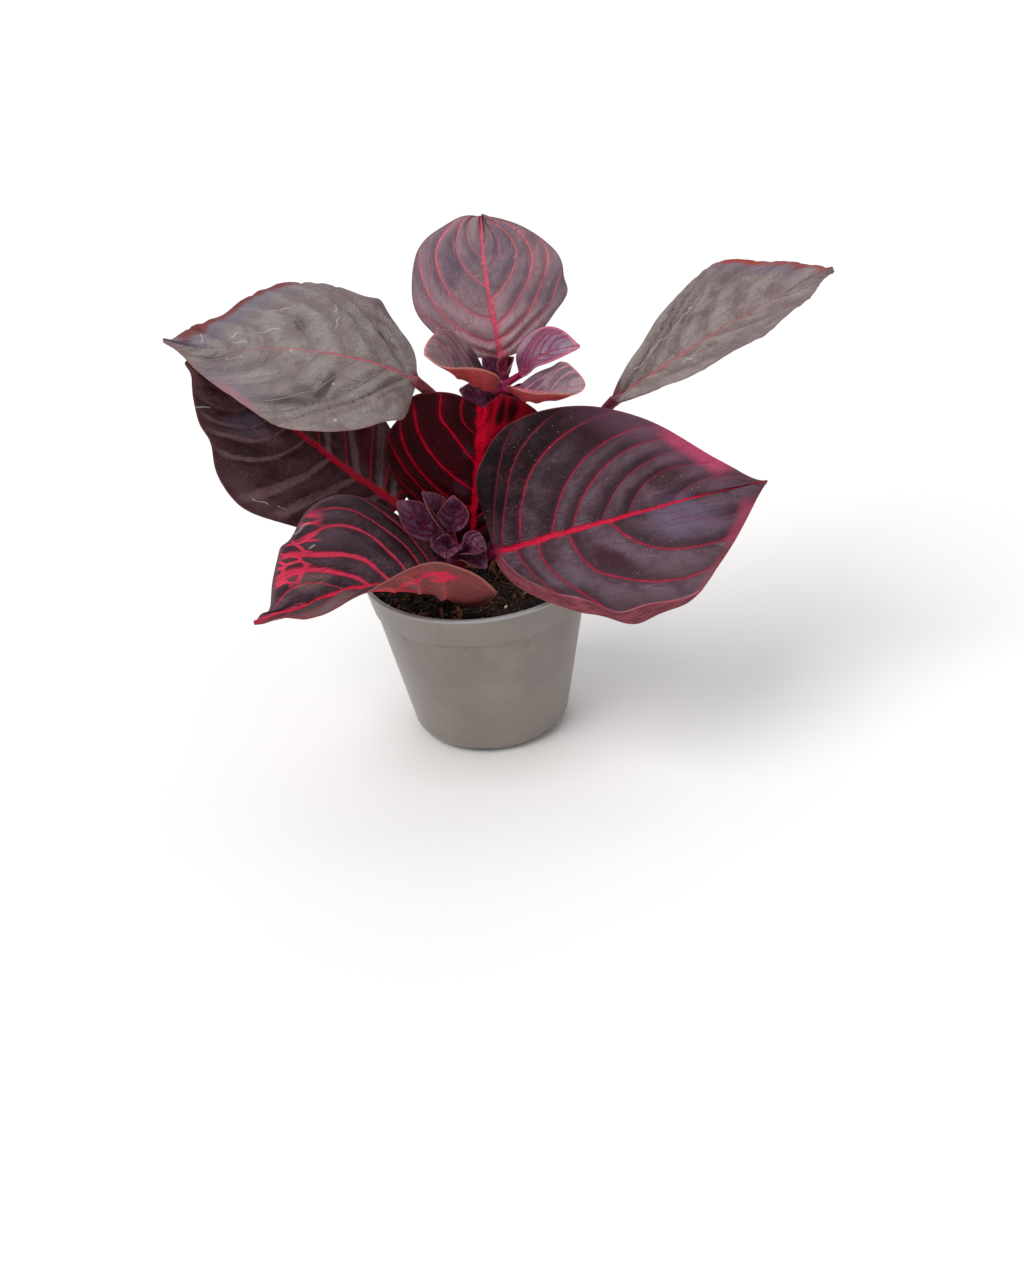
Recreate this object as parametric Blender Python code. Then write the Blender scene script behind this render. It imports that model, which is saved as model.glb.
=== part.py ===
"""A bloodleaf in a small grower's pot: two stems with dark red leaves, soil and a thin grey pot.

Lengths are in millimetres here and become metres where a mesh is made. +Z is up, the origin is
the centre of the pot's underside, and the side that shows the leaves best faces -Y.
"""

import math
from collections import namedtuple

import bmesh
import bpy
import numpy as np
from mathutils import noise

MM = 0.001
GAP = 0.3  # clearance between pieces that touch

# Pot
POT_HEIGHT = 46.0
RIM_RADIUS = 30.0
BAND_HEIGHT = 8.5
BAND_STEP = 0.6
STEP_SLOPE = 0.3  # height over which the wall steps out to the band
TAPER = 0.205  # radius gained for each mm of height
BASE_RADIUS = 20.0  # of the wall's line, carried down to the base
CORNER_RADIUS = 4.5
WALL = 0.9
LIP_HEIGHT = 0.9
LIP_BULGE = 0.3
LIP_ROUND = 0.2
POT_SIDES = 60
HOLE_SIDES = 12
SLOT_COUNT = 4
SLOT_ANGLE = 48.0
SLOT_START = -140.0
SLOT_HEIGHT = 1.8
SLOT_INNER = 14.0
DRAIN_RADIUS = 1.7
DRAIN_CIRCLE = 16.5
DRAIN_OFFSET = 11.0  # degrees from the slot's middle
CUTTER_EXTRA = 2.0  # how far a cutter stands out of what it cuts

# Soil
SOIL_LEVEL = 41.0
SOIL_SIDES = 48
SOIL_RINGS = 9
SOIL_ROUGHNESS = 0.9
SOIL_DOME = 0.8
SOIL_SHOULDER = 6.0  # the height from which the soil fills the pot's whole width
LUMP_SCALES = ((0.16, 1.0, 3.0), (0.4, 0.6, 9.0))  # fineness, strength and seed

# Stems and leaves
STEM_SIDES = 12
THICKNESS = 0.66
TIP_HALF_WIDTH = 0.35
STALK_ROWS = 4
QUILT = 0.55  # how far the blade swells between two side veins
MARGIN_WAVE = 0.6
FULL_SIZE = 20.0  # the half width from which a blade has the whole quilt and wave
FLAT_ENDS = 6.0  # how soon after its base a blade reaches its full quilt and wave
VEIN_SWEEP = 1.45  # how far forward a side vein reaches before it meets the margin
BUMP_ENDS = 8.0  # how soon after its base a blade's margin has its full bumps
TIP_POWER = 6  # how close to the end a notch or a lobe stays
COLUMN_CROWDING = 0.9  # under 1 gives the margin the narrower columns
RIDGE_DEPTH = 1.3  # of the midrib under the blade, in stalk radii
RIDGE_FADE = 0.7
STALK_EDGE = 0.15  # height of a stalk's sides, in stalk radii

# Materials: colour, roughness
POT_GREY = ((0.28, 0.25, 0.235), 0.42)
SOIL_BROWN = ((0.02, 0.013, 0.009), 0.95)
STEM_PURPLE = ((0.12, 0.01, 0.035), 0.45)
GREY_LEAF = ((0.2, 0.15, 0.15), 0.5)
DARK_LEAF = ((0.06, 0.018, 0.022), 0.45)
CRIMSON_LEAF = ((0.09, 0.006, 0.014), 0.45)
PINK_LEAF = ((0.2, 0.1, 0.12), 0.5)

Stem = namedtuple("Stem", "line foot_radius top_radius")
Outline = namedtuple("Outline", "swell late taper")
Side = namedtuple("Side", "half outline inner outer lobe bumps", defaults=((),))
Leaf = namedtuple("Leaf", "stem node stalk midrib face left right notch veins columns")

# Half outlines: how fast the width swells from the base, how late it turns in, and how fast it
# tapers to the tip
OVATE = Outline(0.35, 2.4, 1.6)
DRAWN_OUT = Outline(0.3, 3.3, 1.9)
BROAD = Outline(0.35, 4.0, 1.6)
OVATE_WIDE = Outline(0.8, 2.8, 1.7)
FULL = Outline(0.6, 3.2, 1.3)
LATE = Outline(0.9, 3.4, 1.35)
SLENDER = Outline(0.7, 2.8, 1.4)
SLOPING = Outline(0.75, 2.4, 1.3)
ROUND = Outline(0.55, 2.6, 0.7)
WEDGE = Outline(0.75, 3.0, 0.6)
SPOON = Outline(0.6, 2.6, 0.8)

STEMS = {
    "front": Stem([(-6.5, -9.6, 33), (-6.5, -9.6, 41), (-6, -9, 50), (-5.5, -8.5, 58)], 1.9, 1.3),
    "rear": Stem([(5, 7, 33), (5, 7, 41), (6, 7, 60), (8.5, 5.5, 78), (11, 4.2, 94)], 1.9, 1.2),
}

# A side's inner and outer values are the blade's lift in degrees next to the midrib and at the
# margin, at even steps from the leaf's base to its tip. Its bumps are the places where the margin
# stands out or in: the share of the midrib, the spread and the distance in mm
LEAVES = {
    "leaf_left_upper": Leaf(
        "rear", 69, [(-1, 6.5, 82)],
        [(-10.5, 3, 96), (-22, 0.8, 103.5), (-40, 4, 107), (-59, 8, 107), (-71, 12, 109)],
        ((0.3, -0.42, 0.86), (-0.1, -0.44, 0.9)),
        Side(22, DRAWN_OUT, (0, 0, 0), (-8, -14, 0), 3, ((0.06, 0.11, -5), (0.61, 0.15, -1.5))),
        Side(23.5, BROAD, (0, 0, 0), (-8, -8, 0), 1,
             ((0.13, 0.06, 3), (0.48, 0.06, 1.8), (0.8, 0.1, 1.2))),
        0, 7, 4,
    ),
    "leaf_right_upper": Leaf(
        "rear", 69, [(20, 6, 71), (31, 5, 77)],
        [(38, 5, 85), (52, 6, 93), (70, 8, 102), (83, 10, 107), (94, 12, 111)],
        ((-0.5, -0.25, 0.83), (-0.4, -0.2, 0.87)),
        Side(19.5, LATE, (16, 16, 10), (10, 10, 0), 0, ((0.29, 0.07, -1.2), (0.92, 0.08, 2.2))),
        Side(15.5, SLENDER, (16, 16, 10), (10, 10, 0), 0),
        0, 7, 4,
    ),
    "leaf_left_lower": Leaf(
        "front", 50, [(-12, -4.5, 55)],
        [(-18, -1, 64.5), (-29.5, 2, 74), (-42, 5, 85.5), (-54, 9.5, 94), (-67, 13, 102.5)],
        ((0.32, -0.75, 0.54), (0.32, -0.7, 0.6)),
        Side(21.5, FULL, (0, 0, 0), (-8, -8, 0), 3,
             ((0.38, 0.1, 1.3), (0.62, 0.07, -2.4), (0.9, 0.06, -1.3))),
        Side(21, FULL, (0, 0, 0), (-8, -8, 0), 3),
        0, 7, 4,
    ),
    "leaf_centre": Leaf(
        "front", 49, [],
        [(-1.5, -4.5, 52.5), (1, -2.2, 65), (4, 0, 80), (5.2, 0.6, 88.6)],
        ((0, -1, 0.1), (0, -1, 0.15)),
        Side(22.5, WEDGE, (0, 0, 0), (0, 0, 0), 0, ((0.84, 0.06, 2.5),)),
        Side(16.5, WEDGE, (-10, -12, 0), (-16, -16, 0), 0, ((0.9, 0.1, -3),)),
        5, 5, 4,
    ),
    "leaf_top": Leaf(
        "rear", 90, [(11, 6.9, 94)],
        [(11, 7, 98.5), (10, 7.5, 109), (9, 9, 121), (9, 14, 132)],
        ((0, -1, 0.1), (0, -0.9, 0.4)),
        Side(18.2, ROUND, (5, 5, 0), (0, -5, -10), 0, ((0.51, 0.16, -1), (0.83, 0.08, -0.8))),
        Side(17.8, ROUND, (5, 5, 0), (0, -5, -10), 0, ((0.27, 0.07, 1.8), (0.98, 0.22, -6))),
        1.5, 5, 4,
    ),
    "leaf_right_lower": Leaf(
        "front", 52, [],
        [(5, -11.5, 54.3), (21, -15, 59.6), (36, -17, 63.5), (54, -15, 66), (73, -12, 67)],
        ((-0.2, -0.75, 0.6), (-0.1, -0.7, 0.65)),
        Side(29.5, OVATE, (24, 20, 5), (24, 20, 5), 6, ((0.02, 0.12, -5), (0.65, 0.11, -0.7))),
        Side(29, SLOPING, (15, 15, 5), (60, 15, 5), 2,
             ((0.25, 0.11, -1.8), (0.34, 0.04, 2.7), (0.61, 0.2, -2.6))),
        0, 7, 4,
    ),
    "leaf_front_left": Leaf(
        "front", 45, [(-7, -15, 44.8)],
        [(-7.5, -18.5, 47.5), (-11, -20.8, 50.8), (-19.5, -22.6, 53.6), (-32, -25.8, 55.3),
         (-43, -30.5, 54.3), (-54, -34, 53.5)],
        ((0.49, -0.56, 0.67), (0.35, -0.6, 0.7)),
        Side(14.5, OVATE_WIDE, (-30, 50, 62, 50, 40), (60, 118, 62, 42, 35), 12,
             ((0.27, 0.13, 7), (0.5, 0.1, -1), (0.68, 0.15, -3.5))),
        Side(24, OVATE_WIDE, (0, 0, 0), (0, 0, 0), 0,
             ((0.23, 0.06, 1), (0.52, 0.08, -4.2), (0.81, 0.05, -2.5))),
        0, 7, 4,
    ),
    "leaf_tuft_left": Leaf(
        "rear", 91, [],
        [(7.5, 1.5, 93), (2, -4, 99), (-2.5, -8, 104), (-7, -11, 108)],
        ((0.3, -0.35, 0.88), (0.3, -0.35, 0.88)),
        Side(11, SPOON, (-10, -10, 0), (110, 100, 20), 0),
        Side(10, SPOON, (20, 20, 10), (20, 20, 0), 1),
        0, 3, 3,
    ),
    "leaf_tuft_right": Leaf(
        "rear", 91.2, [],
        [(14.3, -0.5, 92.7), (20, -7, 94.2), (25, -10.5, 95.8), (30, -12.5, 97.2)],
        ((-0.2, -0.35, 0.9), (-0.2, -0.35, 0.9)),
        Side(7.5, SPOON, (12, 12, 5), (12, 12, 5), 0),
        Side(10, SPOON, (-10, -10, 0), (110, 100, 20), 2),
        0, 3, 3,
    ),
    "leaf_tuft_small": Leaf(
        "rear", 92.7, [],
        [(15.3, 2, 95.6), (19, 1.2, 99.4), (24, -0.5, 101.8), (30, -2, 103)],
        ((-0.4, -0.6, 0.7), (-0.2, -0.5, 0.85)),
        Side(6, FULL, (10, 10, 0), (30, 30, 0), 0),
        Side(3.5, FULL, (10, 10, 0), (30, 30, 0), 0),
        0, 3, 3,
    ),
}


def young_leaf(stem, node, midrib, face, half):
    """An unfolding leaf, cupped along its midrib."""
    side = Side(half, FULL, (25, 25, 10), (60, 50, 20), 0)
    return Leaf(stem, node, [], midrib, (face, face), side, side, 0, 2, 2)


# The unfolding leaves at a stem's tip, which grow out of it as one piece
YOUNG = {
    "front": [
        young_leaf("front", 55, [(-7, -8, 59), (-9, -7.5, 64), (-11.5, -7, 71)], (0.8, -0.6, 0.2), 4.2),
        young_leaf("front", 57, [(-5, -8, 60), (-4, -8, 65), (-4, -9, 70)], (-0.2, -1, 0.1), 4),
        young_leaf("front", 54, [(-3, -11, 55), (0, -13, 57), (3, -14, 57)], (-0.3, -0.4, 0.9), 3.5),
    ],
    "rear": [
        young_leaf("rear", 92, [(11.4, 4, 95), (12, 3.6, 98), (12.8, 3, 101)], (-0.7, 0.7, 0.2), 1.9),
        young_leaf("rear", 92, [(12, 4.3, 95.5), (13, 4.2, 97.6), (14, 4, 99.4)], (-0.7, -0.5, 0.5), 1.7),
    ],
}

LEAF_MATERIALS = {
    "leaf_left_upper": GREY_LEAF,
    "leaf_right_upper": GREY_LEAF,
    "leaf_centre": CRIMSON_LEAF,
    "leaf_top": PINK_LEAF,
    "leaf_tuft_left": PINK_LEAF,
    "leaf_tuft_right": PINK_LEAF,
    "leaf_tuft_small": PINK_LEAF,
}
STALK_RADIUS = {"large": 1.25, "small": 0.75, "young": 0.6}
SMALL_HALF = 12.0  # a half width up to which a leaf has the small stalk


# Curves and frames

def unit(vectors):
    vectors = np.asarray(vectors, float)
    return vectors / np.linalg.norm(vectors, axis=-1, keepdims=True)


def smooth_line(points, steps=16):
    """A Catmull-Rom curve through the points, as a fine polyline."""
    known = np.array(points, float)
    padded = np.vstack([2 * known[0] - known[1], known, 2 * known[-1] - known[-2]])
    t = (np.arange(steps) / steps)[:, None]
    pieces = [
        0.5 * (2 * b + (c - a) * t + (2 * a - 5 * b + 4 * c - d) * t**2 + (3 * b - a - 3 * c + d) * t**3)
        for a, b, c, d in zip(padded, padded[1:], padded[2:], padded[3:])
    ]
    return np.vstack(pieces + [known[-1:]])


class Rib:
    """The line of a stalk and midrib, walked by distance, with the way its upper side faces."""

    def __init__(self, points, stalk_points, face):
        self.line = smooth_line(points)
        steps = np.linalg.norm(np.diff(self.line, axis=0), axis=1)
        self.walked = np.concatenate([[0.0], np.cumsum(steps)])
        self.length = self.walked[-1]
        blade_start = points[stalk_points]
        self.stalk = self.walked[np.argmin(np.linalg.norm(self.line - blade_start, axis=1))]
        self.tangents = unit(np.gradient(self.line, self.walked, axis=0))
        self.face = np.array(face, float)

    def read(self, table, distance):
        return np.stack([np.interp(distance, self.walked, table[:, k]) for k in range(3)], -1)

    def frames(self, distance, start=0.0):
        """Points, forward, upper and left directions; straight on before start and past the tip."""
        inside = np.clip(distance, start, self.length)
        forward = unit(self.read(self.tangents, inside))
        point = self.read(self.line, inside) + forward * (distance - inside)[..., None]
        share = (inside / self.length)[..., None]
        face = self.face[0] * (1 - share) + self.face[1] * share
        upper = unit(face - forward * (face * forward).sum(-1, keepdims=True))
        return point, forward, upper, np.cross(upper, forward)


def stem_at(stem, height):
    line = smooth_line(stem.line)
    return np.array([np.interp(height, line[:, 2], line[:, k]) for k in range(3)])


def stem_radius(stem, height):
    share = (height - stem.line[0][2]) / (stem.line[-1][2] - stem.line[0][2])
    return stem.foot_radius + (stem.top_radius - stem.foot_radius) * share


def rib_of(leaf, stalk_radius=None):
    """The leaf's line from its root: on the stem's axis, or just clear of it with a stalk radius."""
    stem = STEMS[leaf.stem]
    axis = stem_at(stem, leaf.node)
    first = np.array((leaf.stalk + leaf.midrib)[0], float)
    root = axis
    if stalk_radius:
        climb = abs(unit(first - axis)[2])
        outward = unit((first - axis) * (1, 1, 0))
        root = axis + outward * (stem_radius(stem, leaf.node) + GAP + stalk_radius * climb)
    return Rib([root] + leaf.stalk + leaf.midrib, len(leaf.stalk) + 1, leaf.face)


# Blades

def along_leaf(values, u):
    """A smooth curve through values at even steps from a leaf's base to its tip."""
    steps = np.linspace(0, 1, len(values))
    return np.polyval(np.polyfit(steps, values, len(values) - 1), u)


def width_share(outline, s):
    """The half width at a share of the blade's length, 1 where it is widest."""
    swell, late, taper = outline
    widest = (swell / (swell + taper * late)) ** (1 / late)
    full = widest**swell * (1 - widest**late) ** taper
    return s**swell * (1 - s**late) ** taper / full


def near_tip(u):
    """A bump that reaches 1 a little before u = 1 and is 0 at both ends."""
    peak = TIP_POWER / (TIP_POWER + 1)
    return (u / peak) ** TIP_POWER * (1 - u) / (1 - peak)


def half_blade(leaf, rib, side, turn, u, t, stalk_radius):
    """Middle points and upward directions at u along the midrib and t out to the margin.

    turn is 1 for the left half and -1 for the right one.
    """
    length = rib.length - rib.stalk
    swept = 1 - (1 - u) ** VEIN_SWEEP
    reach = side.half * width_share(side.outline, swept) + stalk_radius * (1 - u) + TIP_HALF_WIDTH * u
    for centre, spread, rise in side.bumps:
        near = np.clip(BUMP_ENDS * np.minimum(u, 1 - u), 0, 1)
        reach = reach + rise * np.exp(-(((u - centre) / spread) ** 2)) * near
    meets = length * swept + leaf.notch * near_tip(u) - side.lobe * near_tip(1 - u)
    along = length * u + (meets - length * u) * t**2
    point, _, upper, left = rib.frames(rib.stalk + along, rib.stalk)
    inner = np.radians(along_leaf(side.inner, u))
    bend = np.radians(along_leaf(side.outer, u)) - inner
    chord = (reach * t * np.sinc(bend * t / (2 * np.pi)))[..., None]
    heading = (inner + bend * t / 2)[..., None]
    lean = (inner + bend * t)[..., None]
    point = point + chord * (turn * left * np.cos(heading) + upper * np.sin(heading))
    facing = upper * np.cos(lean) - turn * left * np.sin(lean)
    turns = 2 * np.pi * (leaf.veins + 1) * u
    swell = -np.cos(turns) * 2 * t * (1 - t) * QUILT
    wave = np.sin(turns / 2 + turn) * t**3 * MARGIN_WAVE
    strength = np.clip(FLAT_ENDS * np.minimum(u, 1 - u), 0, 1) * min(1, side.half / FULL_SIZE)
    return point + facing * ((swell + wave) * strength)[..., None], facing


def blade_grid(leaf, rib, stalk_radius):
    """Upper and lower points of stalk and blade, as two arrays of rows by columns."""
    spread = np.linspace(0, 1, leaf.columns + 1)[1:] ** COLUMN_CROWDING
    out = np.concatenate([-spread[::-1], [0.0], spread])
    rows = np.arange(2 * (leaf.veins + 1) + 1) / (2 * (leaf.veins + 1))
    u, c = np.meshgrid(rows, out, indexing="ij")
    left_point, left_face = half_blade(leaf, rib, leaf.left, 1, u, np.abs(c), stalk_radius)
    right_point, right_face = half_blade(leaf, rib, leaf.right, -1, u, np.abs(c), stalk_radius)
    is_left = (c < 0)[..., None]
    middle = np.where(is_left, left_point, right_point)
    facing = np.where(is_left, left_face, right_face)
    on_rib = c == 0
    facing[on_rib] = unit(left_face[on_rib] + right_face[on_rib])
    ridge = np.where(on_rib, stalk_radius * RIDGE_DEPTH * (1 - u) ** RIDGE_FADE, 0.0)
    upper = middle + facing * (THICKNESS / 2)
    lower = middle - facing * (THICKNESS / 2 + ridge)[..., None]

    walk = np.linspace(0, rib.stalk, STALK_ROWS + 1)[:-1]
    d, c = np.meshgrid(walk, np.linspace(-1, 1, len(out)), indexing="ij")
    point, _, up, left = rib.frames(d)
    sideways = point - left * (stalk_radius * np.sin(c * np.pi / 2))[..., None]
    height = (stalk_radius * np.maximum(np.cos(c * np.pi / 2), STALK_EDGE))[..., None]
    return np.vstack([sideways + up * height, upper]), np.vstack([sideways - up * height, lower])


def shell_of(upper, lower):
    """One closed shell round two grids that are split into triangles alike."""
    rows, columns = upper.shape[:2]
    index = np.arange(rows * columns).reshape(rows, columns)
    a, b = index[:-1, :-1].ravel(), index[:-1, 1:].ravel()
    c, d = index[1:, 1:].ravel(), index[1:, :-1].ravel()
    top = np.concatenate([np.stack([a, b, c], -1), np.stack([a, c, d], -1)])
    bottom = top[:, ::-1] + rows * columns
    loop = np.concatenate([index[0, :-1], index[:-1, -1], index[-1, :0:-1], index[:0:-1, 0]])
    after = np.roll(loop, -1)
    under = rows * columns
    sides = np.concatenate([
        np.stack([loop, loop + under, after + under], -1), np.stack([loop, after + under, after], -1)
    ])
    points = np.concatenate([upper.reshape(-1, 3), lower.reshape(-1, 3)])
    return points, np.concatenate([top, bottom, sides]).tolist()


# Meshes and objects

def material(name, look):
    colour, roughness = look
    made = bpy.data.materials.new(name)
    made.use_nodes = True
    shader = made.node_tree.nodes["Principled BSDF"]
    shader.inputs["Base Color"].default_value = (*colour, 1.0)
    shader.inputs["Roughness"].default_value = roughness
    shader.inputs["Metallic"].default_value = 0.0
    made.diffuse_color = (*colour, 1.0)
    return made


def add_object(name, points, faces, look):
    """A mesh object from points in mm, with its faces turned outward."""
    mesh = bpy.data.meshes.new(name)
    mesh.from_pydata((np.asarray(points, float) * MM).tolist(), [], faces)
    shell = bmesh.new()
    shell.from_mesh(mesh)
    bmesh.ops.recalc_face_normals(shell, faces=shell.faces)
    shell.to_mesh(mesh)
    shell.free()
    mesh.shade_smooth()
    mesh.set_sharp_from_angle(angle=math.radians(50))
    made = bpy.data.objects.new(name, mesh)
    bpy.context.scene.collection.objects.link(made)
    if look:
        mesh.materials.append(material(name, look))
    return made


def hide(cutter):
    cutter.hide_render = True
    cutter.display_type = "WIRE"


def boolean(target, other, operation):
    modifier = target.modifiers.new(operation.lower(), "BOOLEAN")
    modifier.operation = operation
    modifier.object = other
    hide(other)


def turned(name, outline, sides, look=None, start=0.0):
    """A solid of revolution from an outline of (radius, height) that begins and ends on the axis."""
    angles = math.radians(start) + 2 * math.pi * np.arange(sides) / sides
    points = [(0.0, 0.0, outline[0][1])]
    for radius, height in outline[1:-1]:
        points += [(radius * math.cos(a), radius * math.sin(a), height) for a in angles]
    points.append((0.0, 0.0, outline[-1][1]))
    rings = len(outline) - 2
    faces = []
    for k in range(sides):
        after = (k + 1) % sides
        faces.append([0, 1 + after, 1 + k])
        for ring in range(rings - 1):
            low, high = 1 + ring * sides, 1 + (ring + 1) * sides
            faces.append([low + k, low + after, high + after, high + k])
        last = 1 + (rings - 1) * sides
        faces.append([last + k, last + after, len(points) - 1])
    return add_object(name, points, faces, look)


def ring_sector(name, inner, outer, bottom, top, start, angle, steps=8):
    """A block bent round the Z axis, used as a cutter."""
    points, faces = [], []
    for step in range(steps + 1):
        a = math.radians(start + angle * step / steps)
        for radius, height in ((inner, bottom), (outer, bottom), (outer, top), (inner, top)):
            points.append((radius * math.cos(a), radius * math.sin(a), height))
    for step in range(steps):
        for k in range(4):
            a, b = 4 * step + k, 4 * step + (k + 1) % 4
            faces.append([a, b, b + 4, a + 4])
    faces += [[0, 1, 2, 3], [4 * steps + k for k in range(4)]]
    return add_object(name, points, faces, None)


def tube(name, line, radii, sides, look=None):
    """A round rod along a polyline, with a radius at each point."""
    line = np.asarray(line, float)
    tangents = unit(np.gradient(line, axis=0))
    across = unit(np.cross(tangents, (0.3, 1.0, 0.1)))
    other = np.cross(tangents, across)
    angles = 2 * np.pi * np.arange(sides) / sides
    points = []
    for centre, one, two, radius in zip(line, across, other, radii):
        points += [centre + radius * (one * math.cos(a) + two * math.sin(a)) for a in angles]
    faces = []
    for ring in range(len(line) - 1):
        for k in range(sides):
            a, b = ring * sides + k, ring * sides + (k + 1) % sides
            faces.append([a, b, b + sides, a + sides])
    faces += [list(range(sides)), list(range(len(points) - sides, len(points)))]
    return add_object(name, points, faces, look)


# Pot

def wall_radius(height):
    """The outer wall's radius under the rim band."""
    return BASE_RADIUS + TAPER * height


def corner_points(radius, corner, floor, steps=5):
    """The rounded corner between a floor and the tapered wall that meets it at the given radius."""
    slope = math.atan(TAPER)
    turn = math.pi / 2 - slope
    centre = (radius - corner * math.tan(turn / 2), floor + corner)
    return [
        (centre[0] + corner * math.sin(turn * k / steps), centre[1] - corner * math.cos(turn * k / steps))
        for k in range(steps + 1)
    ]


def pot_outline():
    band_bottom = POT_HEIGHT - BAND_HEIGHT
    band_radius = RIM_RADIUS - LIP_BULGE - TAPER * BAND_HEIGHT
    return (
        [(0, 0), (SLOT_INNER - CUTTER_EXTRA, 0)]
        + corner_points(BASE_RADIUS, CORNER_RADIUS, 0)
        + [
            (band_radius - BAND_STEP, band_bottom - STEP_SLOPE),
            (band_radius, band_bottom),
            (RIM_RADIUS - LIP_BULGE, POT_HEIGHT - LIP_HEIGHT),
            (RIM_RADIUS, POT_HEIGHT - LIP_HEIGHT + LIP_ROUND),
            (RIM_RADIUS, POT_HEIGHT - LIP_ROUND),
            (RIM_RADIUS - LIP_ROUND, POT_HEIGHT),
            (0, POT_HEIGHT),
        ]
    )


def cavity_radius(height):
    """The inside's radius at a height in the rim band."""
    return RIM_RADIUS - LIP_BULGE - TAPER * (POT_HEIGHT - height) - WALL


def cavity_outline():
    step_height = POT_HEIGHT - BAND_HEIGHT + WALL
    return (
        [(0, WALL)]
        + corner_points(BASE_RADIUS - WALL + TAPER * WALL, CORNER_RADIUS - WALL, WALL)
        + [
            (cavity_radius(step_height) - BAND_STEP, step_height - STEP_SLOPE),
            (cavity_radius(step_height), step_height),
            (cavity_radius(POT_HEIGHT - LIP_ROUND), POT_HEIGHT - LIP_ROUND),
            (cavity_radius(POT_HEIGHT) + LIP_ROUND, POT_HEIGHT),
            (cavity_radius(POT_HEIGHT) + LIP_ROUND, POT_HEIGHT + CUTTER_EXTRA),
            (0, POT_HEIGHT + CUTTER_EXTRA),
        ]
    )


def make_pot():
    pot = turned("pot", pot_outline(), POT_SIDES, POT_GREY, SLOT_START)
    cavity = turned("cavity_cutter", cavity_outline(), POT_SIDES, None, SLOT_START)
    margin = math.degrees(WALL / DRAIN_CIRCLE)
    for number in range(SLOT_COUNT):
        start = SLOT_START + number * 360 / SLOT_COUNT
        raised = ring_sector(
            f"raised_{number}", SLOT_INNER - WALL, RIM_RADIUS, -CUTTER_EXTRA, SLOT_HEIGHT + WALL,
            start - margin, SLOT_ANGLE + 2 * margin,
        )
        boolean(cavity, raised, "DIFFERENCE")
    boolean(pot, cavity, "DIFFERENCE")
    for number in range(SLOT_COUNT):
        start = SLOT_START + number * 360 / SLOT_COUNT
        slot = ring_sector(
            f"slot_{number}", SLOT_INNER, RIM_RADIUS, -CUTTER_EXTRA, SLOT_HEIGHT, start, SLOT_ANGLE
        )
        boolean(pot, slot, "DIFFERENCE")
        for offset in (-DRAIN_OFFSET, DRAIN_OFFSET):
            a = math.radians(start + SLOT_ANGLE / 2 + offset)
            foot = np.array((DRAIN_CIRCLE * math.cos(a), DRAIN_CIRCLE * math.sin(a), 0))
            line = [foot, foot + (0, 0, SLOT_HEIGHT + WALL + CUTTER_EXTRA)]
            hole = tube(f"drain_{number}_{offset:+.0f}", line, [DRAIN_RADIUS] * 2, HOLE_SIDES)
            boolean(pot, hole, "DIFFERENCE")
    return pot


# Soil

def soil_height(x, y):
    """The uneven surface: a low dome with lumps of two sizes."""
    dome = SOIL_DOME * (1 - (x * x + y * y) / RIM_RADIUS**2)
    lumps = sum(share * noise.noise((x * fine, y * fine, seed)) for fine, share, seed in LUMP_SCALES)
    return SOIL_LEVEL + dome + SOIL_ROUGHNESS * lumps


def make_soil():
    floor = SLOT_HEIGHT + WALL + GAP
    shoulder = wall_radius(SOIL_SHOULDER) - WALL - GAP
    step_height = POT_HEIGHT - BAND_HEIGHT + WALL
    step_radius = cavity_radius(step_height) - GAP
    edge = cavity_radius(SOIL_LEVEL - SOIL_ROUGHNESS) - GAP
    outline = [
        (0, floor),
        (SLOT_INNER, floor),
        (shoulder, SOIL_SHOULDER),
        (step_radius - BAND_STEP, step_height - STEP_SLOPE + GAP),
        (step_radius, step_height + STEP_SLOPE + GAP),
    ]
    outline += [(edge * (SOIL_RINGS - k) / SOIL_RINGS, SOIL_LEVEL) for k in range(SOIL_RINGS)]
    outline.append((0, SOIL_LEVEL))
    soil = turned("soil", outline, SOIL_SIDES, SOIL_BROWN)
    for vertex in soil.data.vertices:
        if vertex.co.z > (SOIL_LEVEL - GAP) * MM:
            vertex.co.z = soil_height(vertex.co.x / MM, vertex.co.y / MM) * MM
    for name, stem in STEMS.items():
        foot = np.array(stem.line[0], float)
        up = np.array(stem.line[1], float) - foot
        line = [foot - (0, 0, GAP), foot + up * 2]
        hole = tube(f"hole_{name}", line, [stem.foot_radius + GAP] * 2, HOLE_SIDES)
        boolean(soil, hole, "DIFFERENCE")
    return soil


# Stems and leaves

def make_stem(name):
    """A stem with the unfolding leaves of its tip joined on."""
    stem = STEMS[name]
    line = smooth_line(stem.line, steps=4)
    radii = [stem_radius(stem, point[2]) for point in line]
    made = tube(f"stem_{name}", line, radii, STEM_SIDES, STEM_PURPLE)
    for number, leaf in enumerate(YOUNG[name]):
        upper, lower = blade_grid(leaf, rib_of(leaf), STALK_RADIUS["young"])
        blade = add_object(f"young_{name}_{number}", *shell_of(upper, lower), None)
        boolean(made, blade, "UNION")
    return made


def make_leaf(name):
    leaf = LEAVES[name]
    radius = STALK_RADIUS["large" if leaf.left.half > SMALL_HALF else "small"]
    upper, lower = blade_grid(leaf, rib_of(leaf, radius), radius)
    return add_object(name, *shell_of(upper, lower), LEAF_MATERIALS.get(name, DARK_LEAF))


def main():
    for old in list(bpy.data.objects):
        bpy.data.objects.remove(old, do_unlink=True)
    make_pot()
    make_soil()
    for name in STEMS:
        make_stem(name)
    for name in LEAVES:
        make_leaf(name)


main()
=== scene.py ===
"""The looks of a potted bloodleaf: veined leaves, stems, soil and a grey plastic grower's pot."""

import math
from collections import namedtuple

import bmesh
import bpy
import numpy as np
from mathutils import Matrix, Vector, noise


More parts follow.
